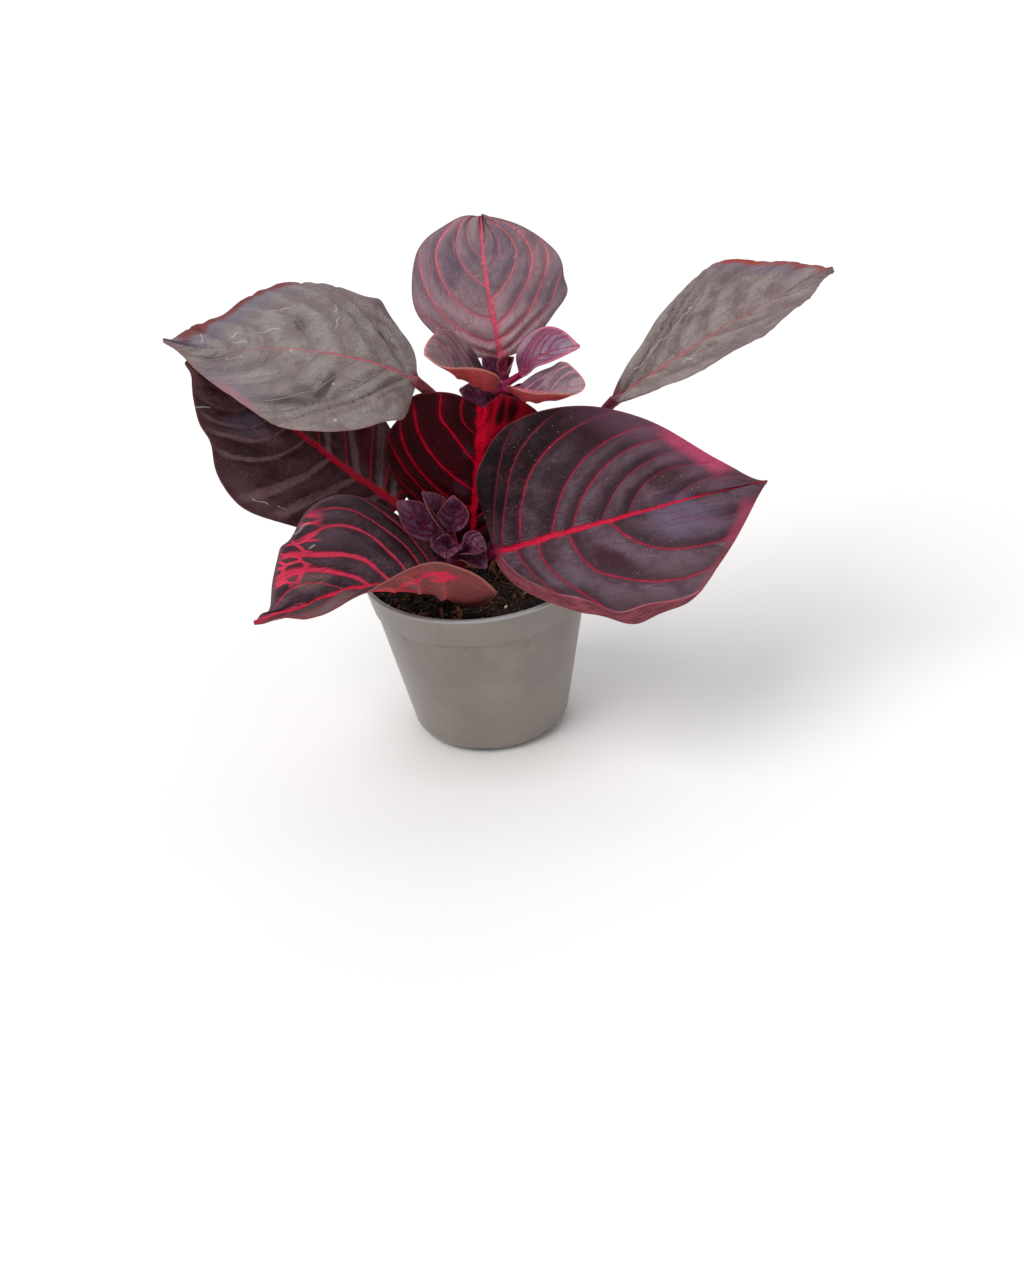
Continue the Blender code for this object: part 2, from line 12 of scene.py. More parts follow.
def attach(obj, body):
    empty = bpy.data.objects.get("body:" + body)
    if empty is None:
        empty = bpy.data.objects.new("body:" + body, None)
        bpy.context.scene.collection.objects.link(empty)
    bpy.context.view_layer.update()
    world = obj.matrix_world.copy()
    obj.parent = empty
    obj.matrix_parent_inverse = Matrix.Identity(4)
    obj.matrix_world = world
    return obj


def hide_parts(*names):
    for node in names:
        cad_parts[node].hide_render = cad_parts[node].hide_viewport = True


MM = 0.001
RANDOM = np.random.default_rng(7)

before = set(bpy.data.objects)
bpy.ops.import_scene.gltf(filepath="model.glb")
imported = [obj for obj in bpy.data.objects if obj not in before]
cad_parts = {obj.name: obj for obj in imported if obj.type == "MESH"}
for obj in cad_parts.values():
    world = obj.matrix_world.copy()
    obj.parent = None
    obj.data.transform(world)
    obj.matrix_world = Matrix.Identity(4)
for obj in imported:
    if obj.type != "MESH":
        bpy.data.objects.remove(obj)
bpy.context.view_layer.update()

# The part's own sizes and leaves, in millimetres

POT_HEIGHT = 46.0
RIM_RADIUS = 30.0
BAND_HEIGHT = 8.5
BAND_STEP = 0.6
STEP_SLOPE = 0.3
TAPER = 0.205
BASE_RADIUS = 20.0
CORNER_RADIUS = 4.5
WALL = 0.9
LIP_HEIGHT = 0.9
LIP_BULGE = 0.3
LIP_RADIUS = 0.42
SLOT_COUNT = 4
SLOT_ANGLE = 48.0
SLOT_START = -140.0
SLOT_HEIGHT = 1.8
SLOT_INNER = 14.0
DRAIN_RADIUS = 1.7
DRAIN_CIRCLE = 16.5
DRAIN_OFFSET = 11.0
SOIL_LEVEL = 41.0
SOIL_ROUGHNESS = 0.9
SOIL_DOME = 0.8
LUMP_SCALES = ((0.16, 1.0, 3.0), (0.4, 0.6, 9.0))
CRUMB_ROUGHNESS = 0.75
CRUMB_COUNT = 1150
BARK_COUNT = 46
PERLITE_COUNT = 40
FIBRE_COUNT = 230
FIBRE_STEPS = 8
STEM_ROOM = 2.6
# The grains that stand out in the photograph: place, size and tone
CHOSEN_GRAINS = [
    (10.5, -24.0, 0.9, 0.98), (-11.5, -25.0, 0.8, 0.62), (-19.0, -19.0, 0.7, 0.58),
    (14.5, -20.5, 0.5, 0.85),
]

TIP_HALF_WIDTH = 0.35
MARGIN_WAVE = 0.6
FULL_SIZE = 20.0
FLAT_ENDS = 6.0
VEIN_SWEEP = 1.45
BUMP_ENDS = 8.0
TIP_POWER = 6
LARGE_HALF = 16.0
GROOVE_WIDTH = 0.55
GROOVE_DEPTH = 0.16
CHANNEL_WIDTH = 1.6
CHANNEL_DEPTH = 0.3
NODE_REACH = 1.6
NODE_SWELL = 0.16

Stem = namedtuple("Stem", "line foot_radius top_radius")
Outline = namedtuple("Outline", "swell late taper")
Side = namedtuple("Side", "half outline inner outer lobe bumps", defaults=((),))
Leaf = namedtuple("Leaf", "stem node stalk midrib face left right notch veins")
HalfSkin = namedtuple("HalfSkin", "middle facing out edge groove gap wide bold phase")

OVATE = Outline(0.35, 2.4, 1.6)
DRAWN_OUT = Outline(0.3, 3.3, 1.9)
BROAD = Outline(0.35, 4.0, 1.6)
OVATE_WIDE = Outline(0.8, 2.8, 1.7)
FULL = Outline(0.6, 3.2, 1.3)
LATE = Outline(0.9, 3.4, 1.35)
SLENDER = Outline(0.7, 2.8, 1.4)
SLOPING = Outline(0.75, 2.4, 1.3)
ROUND = Outline(0.55, 2.6, 0.7)
WEDGE = Outline(0.75, 3.0, 0.6)
SPOON = Outline(0.6, 2.6, 0.8)

STEMS = {
    "front": Stem([(-6.5, -9.6, 33), (-6.5, -9.6, 41), (-6, -9, 50), (-5.5, -8.5, 58)], 1.9, 1.3),
    "rear": Stem([(5, 7, 33), (5, 7, 41), (6, 7, 60), (8.5, 5.5, 78), (11, 4.2, 94)], 1.9, 1.2),
}

LEAVES = {
    "leaf_left_upper": Leaf(
        "rear", 69, [(-1, 6.5, 82)],
        [(-10.5, 3, 96), (-22, 0.8, 103.5), (-40, 4, 107), (-59, 8, 107), (-71, 12, 109)],
        ((0.3, -0.42, 0.86), (-0.1, -0.44, 0.9)),
        Side(22, DRAWN_OUT, (0, 0, 0), (-8, -14, 0), 3, ((0.06, 0.11, -5), (0.61, 0.15, -1.5))),
        Side(23.5, BROAD, (0, 0, 0), (-8, -8, 0), 1,
             ((0.13, 0.06, 3), (0.48, 0.06, 1.8), (0.8, 0.1, 1.2))),
        0, 7,
    ),
    "leaf_right_upper": Leaf(
        "rear", 69, [(20, 6, 71), (31, 5, 77)],
        [(38, 5, 85), (52, 6, 93), (70, 8, 102), (83, 10, 107), (94, 12, 111)],
        ((-0.5, -0.25, 0.83), (-0.4, -0.2, 0.87)),
        Side(19.5, LATE, (16, 16, 10), (10, 10, 0), 0, ((0.29, 0.07, -1.2), (0.92, 0.08, 2.2))),
        Side(15.5, SLENDER, (16, 16, 10), (10, 10, 0), 0),
        0, 7,
    ),
    "leaf_left_lower": Leaf(
        "front", 50, [(-12, -4.5, 55)],
        [(-18, -1, 64.5), (-29.5, 2, 74), (-42, 5, 85.5), (-54, 9.5, 94), (-67, 13, 102.5)],
        ((0.32, -0.75, 0.54), (0.32, -0.7, 0.6)),
        Side(21.5, FULL, (0, 0, 0), (-8, -8, 0), 3,
             ((0.38, 0.1, 1.3), (0.62, 0.07, -2.4), (0.9, 0.06, -1.3))),
        Side(21, FULL, (0, 0, 0), (-8, -8, 0), 3),
        0, 7,
    ),
    "leaf_centre": Leaf(
        "front", 49, [],
        [(-1.5, -4.5, 52.5), (1, -2.2, 65), (4, 0, 80), (5.2, 0.6, 88.6)],
        ((0, -1, 0.1), (0, -1, 0.15)),
        Side(22.5, WEDGE, (0, 0, 0), (0, 0, 0), 0, ((0.84, 0.06, 2.5),)),
        Side(16.5, WEDGE, (-10, -12, 0), (-16, -16, 0), 0, ((0.9, 0.1, -3),)),
        5, 5,
    ),
    "leaf_top": Leaf(
        "rear", 90, [(11, 6.9, 94)],
        [(11, 7, 98.5), (10, 7.5, 109), (9, 9, 121), (9, 14, 132)],
        ((0, -1, 0.1), (0, -0.9, 0.4)),
        Side(18.2, ROUND, (5, 5, 0), (0, -5, -10), 0, ((0.51, 0.16, -1), (0.83, 0.08, -0.8))),
        Side(17.8, ROUND, (5, 5, 0), (0, -5, -10), 0, ((0.27, 0.07, 1.8), (0.98, 0.22, -6))),
        1.5, 5,
    ),
    "leaf_right_lower": Leaf(
        "front", 52, [],
        [(5, -11.5, 54.3), (21, -15, 59.6), (36, -17, 63.5), (54, -15, 66), (73, -12, 67)],
        ((-0.2, -0.75, 0.6), (-0.1, -0.7, 0.65)),
        Side(29.5, OVATE, (24, 20, 5), (24, 20, 5), 6, ((0.02, 0.12, -5), (0.65, 0.11, -0.7))),
        Side(29, SLOPING, (15, 15, 5), (60, 15, 5), 2,
             ((0.25, 0.11, -1.8), (0.34, 0.04, 2.7), (0.61, 0.2, -2.6))),
        0, 7,
    ),
    "leaf_front_left": Leaf(
        "front", 45, [(-7, -15, 44.8)],
        [(-7.5, -18.5, 47.5), (-11, -20.8, 50.8), (-19.5, -22.6, 53.6), (-32, -25.8, 55.3),
         (-43, -30.5, 54.3), (-54, -34, 53.5)],
        ((0.49, -0.56, 0.67), (0.35, -0.6, 0.7)),
        Side(14.5, OVATE_WIDE, (-30, 50, 62, 50, 40), (60, 118, 62, 42, 35), 12,
             ((0.27, 0.13, 7), (0.5, 0.1, -1), (0.68, 0.15, -3.5))),
        Side(24, OVATE_WIDE, (0, 0, 0), (0, 0, 0), 0,
             ((0.23, 0.06, 1), (0.52, 0.08, -4.2), (0.81, 0.05, -2.5))),
        0, 7,
    ),
    "leaf_tuft_left": Leaf(
        "rear", 91, [],
        [(7.5, 1.5, 93), (2, -4, 99), (-2.5, -8, 104), (-7, -11, 108)],
        ((0.3, -0.35, 0.88), (0.3, -0.35, 0.88)),
        Side(11, SPOON, (-10, -10, 0), (110, 100, 20), 0),
        Side(10, SPOON, (20, 20, 10), (20, 20, 0), 1),
        0, 3,
    ),
    "leaf_tuft_right": Leaf(
        "rear", 91.2, [],
        [(14.3, -0.5, 92.7), (20, -7, 94.2), (25, -10.5, 95.8), (30, -12.5, 97.2)],
        ((-0.2, -0.35, 0.9), (-0.2, -0.35, 0.9)),
        Side(7.5, SPOON, (12, 12, 5), (12, 12, 5), 0),
        Side(10, SPOON, (-10, -10, 0), (110, 100, 20), 2),
        0, 3,
    ),
    "leaf_tuft_small": Leaf(
        "rear", 92.7, [],
        [(15.3, 2, 95.6), (19, 1.2, 99.4), (24, -0.5, 101.8), (30, -2, 103)],
        ((-0.4, -0.6, 0.7), (-0.2, -0.5, 0.85)),
        Side(6, FULL, (10, 10, 0), (30, 30, 0), 0),
        Side(3.5, FULL, (10, 10, 0), (30, 30, 0), 0),
        0, 3,
    ),
}


def young_leaf(stem, node, midrib, face, half):
    """A small leaf without a stalk, cupped alike on both sides."""
    side = Side(half, FULL, (25, 25, 10), (60, 50, 20), 0)
    return Leaf(stem, node, [], midrib, (face, face), side, side, 0, 2)


# The crumpled leaves at the stems' tips: node, midrib, face and half width
YOUNG = {
    "front": [
        (55, [(-7, -8, 59), (-9, -7.5, 64), (-11.5, -7, 71)], (0.8, -0.6, 0.2), 4.2),
        (57, [(-5, -8, 60), (-4, -8, 65), (-4, -9, 70)], (-0.2, -1, 0.1), 4.6),
        (54, [(-3, -11, 55), (0, -13, 57), (3, -14, 57)], (-0.3, -0.4, 0.9), 4),
        (56, [(-8, -8, 58), (-12.5, -8, 62.5), (-18, -7, 69)], (0.2, -0.9, 0.4), 4.6),
        (53, [(-7.5, -9.5, 54.5), (-9.3, -11, 56.5), (-11, -12.5, 58)], (0.3, -0.8, 0.5), 4.5),
        (54, [(-6.3, -10.5, 55), (-6.8, -13, 57), (-7.2, -15.5, 56)], (0, -0.5, 0.85), 4.8),
        (52, [(-4.5, -10.5, 53), (-1, -13, 54), (2.5, -15.5, 52.5)], (0.1, -0.5, 0.85), 3.4),
    ],
    "rear": [
        (92, [(11.4, 4, 95), (12, 3.6, 98), (12.8, 3, 101)], (-0.7, 0.7, 0.2), 1.9),
        (92, [(12, 4.3, 95.5), (13, 4.2, 97.6), (14, 4, 99.4)], (-0.7, -0.5, 0.5), 1.7),
        (92, [(10, 4.8, 94), (8.6, 5, 96.5), (6.5, 5.3, 99.5)], (0.3, -0.9, 0.3), 2.6),
        (87, [(8.6, 4.6, 88.5), (5, 4, 90.5), (0, 3.6, 92.5)], (0, -0.95, 0.3), 3.4),
        (87, [(11.4, 4.8, 88.5), (14.5, 4.4, 89.6), (18.5, 4.2, 90.4)], (0, -0.95, 0.3), 2.6),
    ],
}
YOUNG = {stem: [young_leaf(stem, *row) for row in rows] for stem, rows in YOUNG.items()}
STALK_RADIUS = {"large": 1.25, "small": 0.75, "young": 0.6}
SMALL_HALF = 12.0

# Where a side vein leaves the midrib, passes half way out and meets the margin, as shares of the
# blade, then its width next to the midrib and far out, and how clear it is, where that isn't 1
Vein = namedtuple("Vein", "start middle end inner outer bold", defaults=(1.0, 1.0, 1.0))


def even_veins(starts, sweep, bend=1.4):
    """Side veins that all sweep forward alike."""
    veins = []
    for start in starts:
        middle, end = (shift + start * (1 - 0.98 * shift) for shift in (sweep * 0.5**bend, sweep))
        veins.append(Vein(start, middle, end))
    return veins


VEINS = {
    "leaf_left_upper": (
        even_veins((0.03, 0.12, 0.24, 0.38, 0.54, 0.7), 0.4),
        even_veins((0.03, 0.14, 0.28, 0.42, 0.58, 0.74), 0.35),
    ),
    "leaf_right_upper": (
        even_veins((0.06, 0.17, 0.3, 0.44, 0.58, 0.73), 0.4),
        even_veins((0.06, 0.19, 0.33, 0.47, 0.62, 0.76), 0.4),
    ),
    "leaf_left_lower": (
        [
            (0.08, 0.15, 0.2, 0.7, 1.4, 0.5), (0.2, 0.27, 0.3, 0.7, 1.8, 0.7),
            (0.33, 0.375, 0.42, 0.7, 1.5, 0.7), (0.45, 0.5, 0.6, 0.4, 0.8, 0.6),
            (0.54, 0.578, 0.69, 0.4, 1, 0.6), (0.61, 0.645, 0.77, 0.4, 0.6, 0.5),
            (0.7, 0.74, 0.84, 0.4, 0.6, 0.3),
        ],
        [
            (0.04, 0.08, 0.12, 1, 1.4), (0.1, 0.165, 0.23, 1.2, 1.5), (0.2, 0.33, 0.44, 1, 1.2),
            (0.34, 0.47, 0.58, 0.8), (0.48, 0.6, 0.7, 0.6), (0.62, 0.72, 0.8, 0.6),
            (0.76, 0.83, 0.88, 0.6),
        ],
    ),
    "leaf_centre": (
        [
            (0.08, 0.15, 0.38, 0.5, 0.8, 0.5), (0.19, 0.28, 0.58, 0.7, 1.1, 0.8),
            (0.3, 0.4, 0.72, 0.7, 1.3, 0.9), (0.41, 0.585, 0.82, 1, 1.6),
            (0.59, 0.81, 0.9, 1.1, 1.4), (0.79, 0.9, 0.96, 0.8, 1, 0.6),
        ],
        [
            (0.1, 0.2, 0.35), (0.22, 0.33, 0.5), (0.36, 0.48, 0.66), (0.5, 0.62, 0.78, 1.2, 1.4),
            (0.66, 0.76, 0.86, 1, 1, 0), (0.84, 0.9, 0.97, 1, 1, 0),
        ],
    ),
    "leaf_top": (
        [
            (0.03, 0.09, 0.4, 0.7, 0.7, 0.7), (0.13, 0.24, 0.68), (0.29, 0.475, 0.95, 1.1),
            (0.51, 0.75, 1, 0.9, 0.7, 0.9), (0.71, 0.87, 1.03, 0.5, 0.7, 0.4),
        ],
        [
            (0.03, 0.15, 0.42, 0.8, 0.8, 0.7), (0.13, 0.29, 0.68), (0.23, 0.46, 0.87, 1.1),
            (0.42, 0.64, 0.97, 1.2, 0.8, 0.8), (0.6, 0.8, 1, 0.5, 0.6, 0.35),
            (0.78, 0.9, 1.02, 0.4, 0.6, 0.2),
        ],
    ),
    "leaf_right_lower": (
        [
            (-0.03, 0.05, 0.23, 0.8, 0.7, 0.35), (0.03, 0.11, 0.33, 1, 0.6, 0.75),
            (0.1, 0.198, 0.455, 1.2, 0.9), (0.215, 0.352, 0.55, 1, 0.9),
            (0.29, 0.433, 0.61, 0.8, 0.8, 0.9), (0.4, 0.527, 0.66, 0.6, 0.6, 0.7),
            (0.495, 0.6, 0.75, 0.7, 0.7, 0.6), (0.66, 0.74, 0.86, 0.5, 0.7, 0.4),
        ],
        [
            (0.08, 0.13, 0.26, 1, 0.8, 0.8), (0.17, 0.21, 0.38, 1.2, 0.9),
            (0.28, 0.37, 0.62, 1, 1.1), (0.43, 0.55, 0.74, 1, 1.2),
            (0.62, 0.72, 0.84, 0.4, 0.5, 0.2),
        ],
    ),
    "leaf_front_left": (
        [
            (0.05, 0.15, 0.3, 0.8, 0.8, 0.4), (0.17, 0.25, 0.38, 1, 1, 0.7),
            (0.3, 0.36, 0.44, 1, 1.6), (0.46, 0.5, 0.55, 0.6, 0.6, 0.3),
            (0.6, 0.64, 0.69, 0.8, 0.8, 0.3), (0.74, 0.78, 0.83, 0.6, 0.6, 0.2),
        ],
        [
            (-0.02, 0.05, 0.2, 0.6, 0.6, 0.4), (0.05, 0.12, 0.3, 0.6, 0.7, 0.5),
            (0.12, 0.22, 0.47, 0.6, 0.8, 0.6), (0.2, 0.335, 0.56, 0.7, 1.2, 0.8),
            (0.3, 0.49, 0.66, 1, 2.5), (0.41, 0.61, 0.74, 1.2, 2.8),
            (0.53, 0.7, 0.82, 0.6, 0.9, 0.5), (0.72, 0.82, 0.92, 0.6, 0.8, 0.3),
        ],
    ),
    **dict.fromkeys(
        ("leaf_tuft_left", "leaf_tuft_right"),
        (even_veins((0.1, 0.3, 0.55), 0.5), even_veins((0.15, 0.35, 0.6), 0.5)),
    ),
    "leaf_tuft_small": (
        even_veins((0.05, 0.15, 0.27, 0.4, 0.55), 0.5), even_veins((0.1, 0.3, 0.5), 0.5),
    ),
}
VEINS = {name: [[Vein(*row) for row in half] for half in halves] for name, halves in VEINS.items()}
YOUNG_VEINS = [even_veins((0.1, 0.35, 0.6), 0.5)] * 2

# Dents in the blades: place across and along, reach both ways, turn in degrees and depth, in mm
DENTS = {
    "leaf_left_upper": [
        (10, 24, 3, 9, 20, 0.9), (14, 31, 2.5, 6, 20, 0.6), (-9.5, 31, 4, 3, 0, 0.8),
        (-5, 8, 1.2, 5, 30, 0.6), (-11, 13, 1.2, 7, 35, 0.7), (5, 33, 2.5, 8, 10, 0.4),
        (-6, 45, 3, 6, -10, 0.4),
    ],
    "leaf_right_upper": [
        (9, 15, 2, 10, 10, 0.4), (-6, 22, 2.5, 6, 0, 0.5), (12, 38, 2, 7, 20, 0.35),
    ],
    "leaf_left_lower": [(7, 40, 3, 5, 30, 0.8), (4, 45, 2.5, 4, 0, 0.6)],
    "leaf_right_lower": [(-9, 38, 4, 7, 20, 0.5), (8, 50, 4, 7, -10, 0.4)],
    "leaf_top": [(-6, 22, 3, 5, 10, 0.5), (5, 25, 3, 4, 0, 0.4)],
}
# How strong a blade's creases and lumps are, where that isn't as on the others
CREASES = {"leaf_left_upper": 0.5, "leaf_right_upper": 0.3, "leaf_left_lower": 0.35}
LUMPS = {"leaf_left_upper": 0.9, "leaf_right_upper": 0.5, "leaf_left_lower": 0.8}


# Curves and frames

def unit(vectors):
    vectors = np.asarray(vectors, float)
    return vectors / np.linalg.norm(vectors, axis=-1, keepdims=True)


def smooth_line(points, steps=16):
    """A Catmull-Rom curve through the points, as a fine polyline."""
    known = np.array(points, float)
    padded = np.vstack([2 * known[0] - known[1], known, 2 * known[-1] - known[-2]])
    t = (np.arange(steps) / steps)[:, None]
    pieces = [
        0.5 * (
            2 * b + (c - a) * t + (2 * a - 5 * b + 4 * c - d) * t**2
            + (3 * b - a - 3 * c + d) * t**3
        )
        for a, b, c, d in zip(padded, padded[1:], padded[2:], padded[3:])
    ]
    return np.vstack(pieces + [known[-1:]])


class Rib:
    """The line of a stalk and midrib, walked by distance, with the way its upper side faces."""

    def __init__(self, points, stalk_points, face):
        self.line = smooth_line(points)
        steps = np.linalg.norm(np.diff(self.line, axis=0), axis=1)
        self.walked = np.concatenate([[0.0], np.cumsum(steps)])
        self.length = self.walked[-1]
        blade_start = points[stalk_points]
        self.stalk = self.walked[np.argmin(np.linalg.norm(self.line - blade_start, axis=1))]
        self.tangents = unit(np.gradient(self.line, self.walked, axis=0))
        self.face = np.array(face, float)

    def read(self, table, distance):
        return np.stack([np.interp(distance, self.walked, table[:, k]) for k in range(3)], -1)

    def frames(self, distance, start=0.0):
        """Points, forward, upper and left directions; straight on before start and past the tip."""
        inside = np.clip(distance, start, self.length)
        forward = unit(self.read(self.tangents, inside))
        point = self.read(self.line, inside) + forward * (distance - inside)[..., None]
        share = (inside / self.length)[..., None]
        face = self.face[0] * (1 - share) + self.face[1] * share
        upper = unit(face - forward * (face * forward).sum(-1, keepdims=True))
        return point, forward, upper, np.cross(upper, forward)


def stem_at(stem, height):
    line = smooth_line(stem.line)
    return np.array([np.interp(height, line[:, 2], line[:, k]) for k in range(3)])


def stem_radius(stem, height):
    share = (height - stem.line[0][2]) / (stem.line[-1][2] - stem.line[0][2])
    return stem.foot_radius + (stem.top_radius - stem.foot_radius) * share


def rib_of(leaf):
    """The leaf's line, from a little inside its stem's skin."""
    stem = STEMS[leaf.stem]
    axis = stem_at(stem, leaf.node)
    first = np.array((leaf.stalk + leaf.midrib)[0], float)
    outward = unit((first - axis) * (1, 1, 0))
    root = axis + outward * stem_radius(stem, leaf.node) * 0.6
    return Rib([root] + leaf.stalk + leaf.midrib, len(leaf.stalk) + 1, leaf.face)


# Blades

def along_leaf(values, u):
    """A smooth curve through values that are evenly spaced along the leaf."""
    steps = np.linspace(0, 1, len(values))
    return np.polyval(np.polyfit(steps, values, len(values) - 1), u)


def width_share(outline, s):
    """The half width along the leaf, 1 where it is widest."""
    swell, late, taper = outline
    widest = (swell / (swell + taper * late)) ** (1 / late)
    full = widest**swell * (1 - widest**late) ** taper
    return s**swell * (1 - s**late) ** taper / full


def near_tip(u):
    """1 a little before the tip and 0 at both ends."""
    peak = TIP_POWER / (TIP_POWER + 1)
    return (u / peak) ** TIP_POWER * (1 - u) / (1 - peak)


def fractal(points, scale, octaves):
    """Noise for an array of points, roughly from -1 to 1."""
    flat = np.asarray(points, float).reshape(-1, 3) * scale
    return np.array([
        noise.fractal(p, 0.9, 2.1, octaves) for p in flat.tolist()
    ]).reshape(np.shape(points)[:-1])


def half_blade(leaf, rib, side, turn, u, t, stalk_radius):
    """Middle points, upward directions and the width out to the margin, as in the solid part."""
    length = rib.length - rib.stalk
    swept = 1 - (1 - u) ** VEIN_SWEEP
    reach = (
        side.half * width_share(side.outline, swept) + stalk_radius * (1 - u) + TIP_HALF_WIDTH * u
    )
    for centre, spread, rise in side.bumps:
        near = np.clip(BUMP_ENDS * np.minimum(u, 1 - u), 0, 1)
        reach = reach + rise * np.exp(-(((u - centre) / spread) ** 2)) * near
    meets = length * swept + leaf.notch * near_tip(u) - side.lobe * near_tip(1 - u)
    along = length * u + (meets - length * u) * t**2
    point, _, upper, left = rib.frames(rib.stalk + along, rib.stalk)
    inner = np.radians(along_leaf(side.inner, u))
    bend = np.radians(along_leaf(side.outer, u)) - inner
    chord = (reach * t * np.sinc(bend * t / (2 * np.pi)))[..., None]
    heading = (inner + bend * t / 2)[..., None]
    lean = (inner + bend * t)[..., None]
    point = point + chord * (turn * left * np.cos(heading) + upper * np.sin(heading))
    facing = upper * np.cos(lean) - turn * left * np.sin(lean)
    wave = np.sin(np.pi * (leaf.veins + 1) * u + turn) * t**3 * MARGIN_WAVE
    strength = np.clip(FLAT_ENDS * np.minimum(u, 1 - u), 0, 1) * min(1, side.half / FULL_SIZE)
    return point + facing * (wave * strength)[..., None], facing, reach


def vein_phase(veins, u, t):
    """A number that is whole along each side vein and one more at the next vein."""
    start, middle, end = (np.array([vein[k] for vein in veins])[:, None] for k in range(3))
    places = start + (4 * middle - 3 * start - end) * t + (2 * start + 2 * end - 4 * middle) * t**2
    places = np.vstack([2 * places[0] - places[1], places, 2 * places[-1] - places[-2]])
    places = np.maximum.accumulate(places + 1e-4 * np.arange(len(places))[:, None], axis=0)
    steps = np.arange(-1.0, len(veins) + 1.0)
    return np.stack([np.interp(u, column, steps) for column in places.T], axis=1)


def vein_value(veins, phase, values):
    """A value of the veins, blended from each one to the next."""
    return np.interp(phase, np.arange(len(veins)), values)


def spacing(phase, point, u, t):
    """How many mm apart two veins are here, from the phase's slope on the surface."""
    pu, pt = np.gradient(point, u, axis=0), np.gradient(point, t, axis=1)
    fu, ft = np.gradient(phase, u, axis=0), np.gradient(phase, t, axis=1)
    e, f, g = (pu * pu).sum(-1), (pu * pt).sum(-1), (pt * pt).sum(-1)
    slope = (fu**2 * g - 2 * fu * ft * f + ft**2 * e) / np.maximum(e * g - f * f, 1e-6)
    return np.clip(1 / np.sqrt(np.maximum(slope, 1e-6)), 0.3, 40)


class Shape:
    """Points, faces, point values and material numbers that several parts of a piece add to."""

    VALUES = "side edge along walk phase_left phase_right gap under stalk tone wide bold".split()

    def __init__(self):
        self.points, self.faces, self.slots = [], [], []
        self.values = {name: [] for name in self.VALUES}
        self.count = 0

    def add(self, points, faces, slot=0, **values):
        points = np.asarray(points, float).reshape(-1, 3)
        self.points.append(points)
        self.faces += [[self.count + k for k in face] for face in faces]
        self.slots += [slot] * len(faces)
        for name in self.VALUES:
            self.values[name].append(np.broadcast_to(values.get(name, 0.0), len(points)))
        self.count += len(points)

    def piece(self, name, materials, sharp=60):
        mesh = bpy.data.meshes.new(name)
        mesh.from_pydata((np.concatenate(self.points) * MM).tolist(), [], self.faces)
        for value, parts in self.values.items():
            layer = mesh.attributes.new(value, "FLOAT", "POINT")
            layer.data.foreach_set("value", np.concatenate(parts).astype(np.float32))
        mesh.polygons.foreach_set("material_index", self.slots)
        for look in materials:
            mesh.materials.append(look)
        shell = bmesh.new()
        shell.from_mesh(mesh)
        bmesh.ops.recalc_face_normals(shell, faces=shell.faces)
        shell.to_mesh(mesh)
        shell.free()
        mesh.shade_smooth()
        mesh.set_sharp_from_angle(angle=math.radians(sharp))
        made = bpy.data.objects.new(name, mesh)
        bpy.context.scene.collection.objects.link(made)
        return made


def grid_faces(rows, columns, first=0):
    index = np.arange(rows * columns).reshape(rows, columns) + first
    quads = np.stack([index[:-1, :-1], index[:-1, 1:], index[1:, 1:], index[1:, :-1]], -1)
    return quads.reshape(-1, 4)


def ring_faces(rings, sides, first=0):
    """The faces between rings of as many points each, from one ring to the next."""
    faces = []
    for low in range(first, first + (rings - 1) * sides, sides):
        for k in range(sides):
            after = (k + 1) % sides
            faces.append([low + k, low + after, low + sides + after, low + sides + k])
    return faces


def capped_faces(rings, sides):
    """The same, with a middle point before the first ring and one after the last."""
    faces = ring_faces(rings, sides, 1)
    last = 1 + (rings - 1) * sides
    for k in range(sides):
        after = (k + 1) % sides
        faces += [[0, 1 + after, 1 + k], [last + k, last + after, last + sides]]
    return faces


def ellipse(across, up, centre, reach, degrees):
    """0 at the centre and 1 at the edge of a turned ellipse, for arrays."""
    turn = math.radians(degrees)
    dx, dy = across - centre[0], up - centre[1]
    x = (dx * math.cos(turn) + dy * math.sin(turn)) / reach[0]
    y = (dy * math.cos(turn) - dx * math.sin(turn)) / reach[1]
    return np.hypot(x, y)


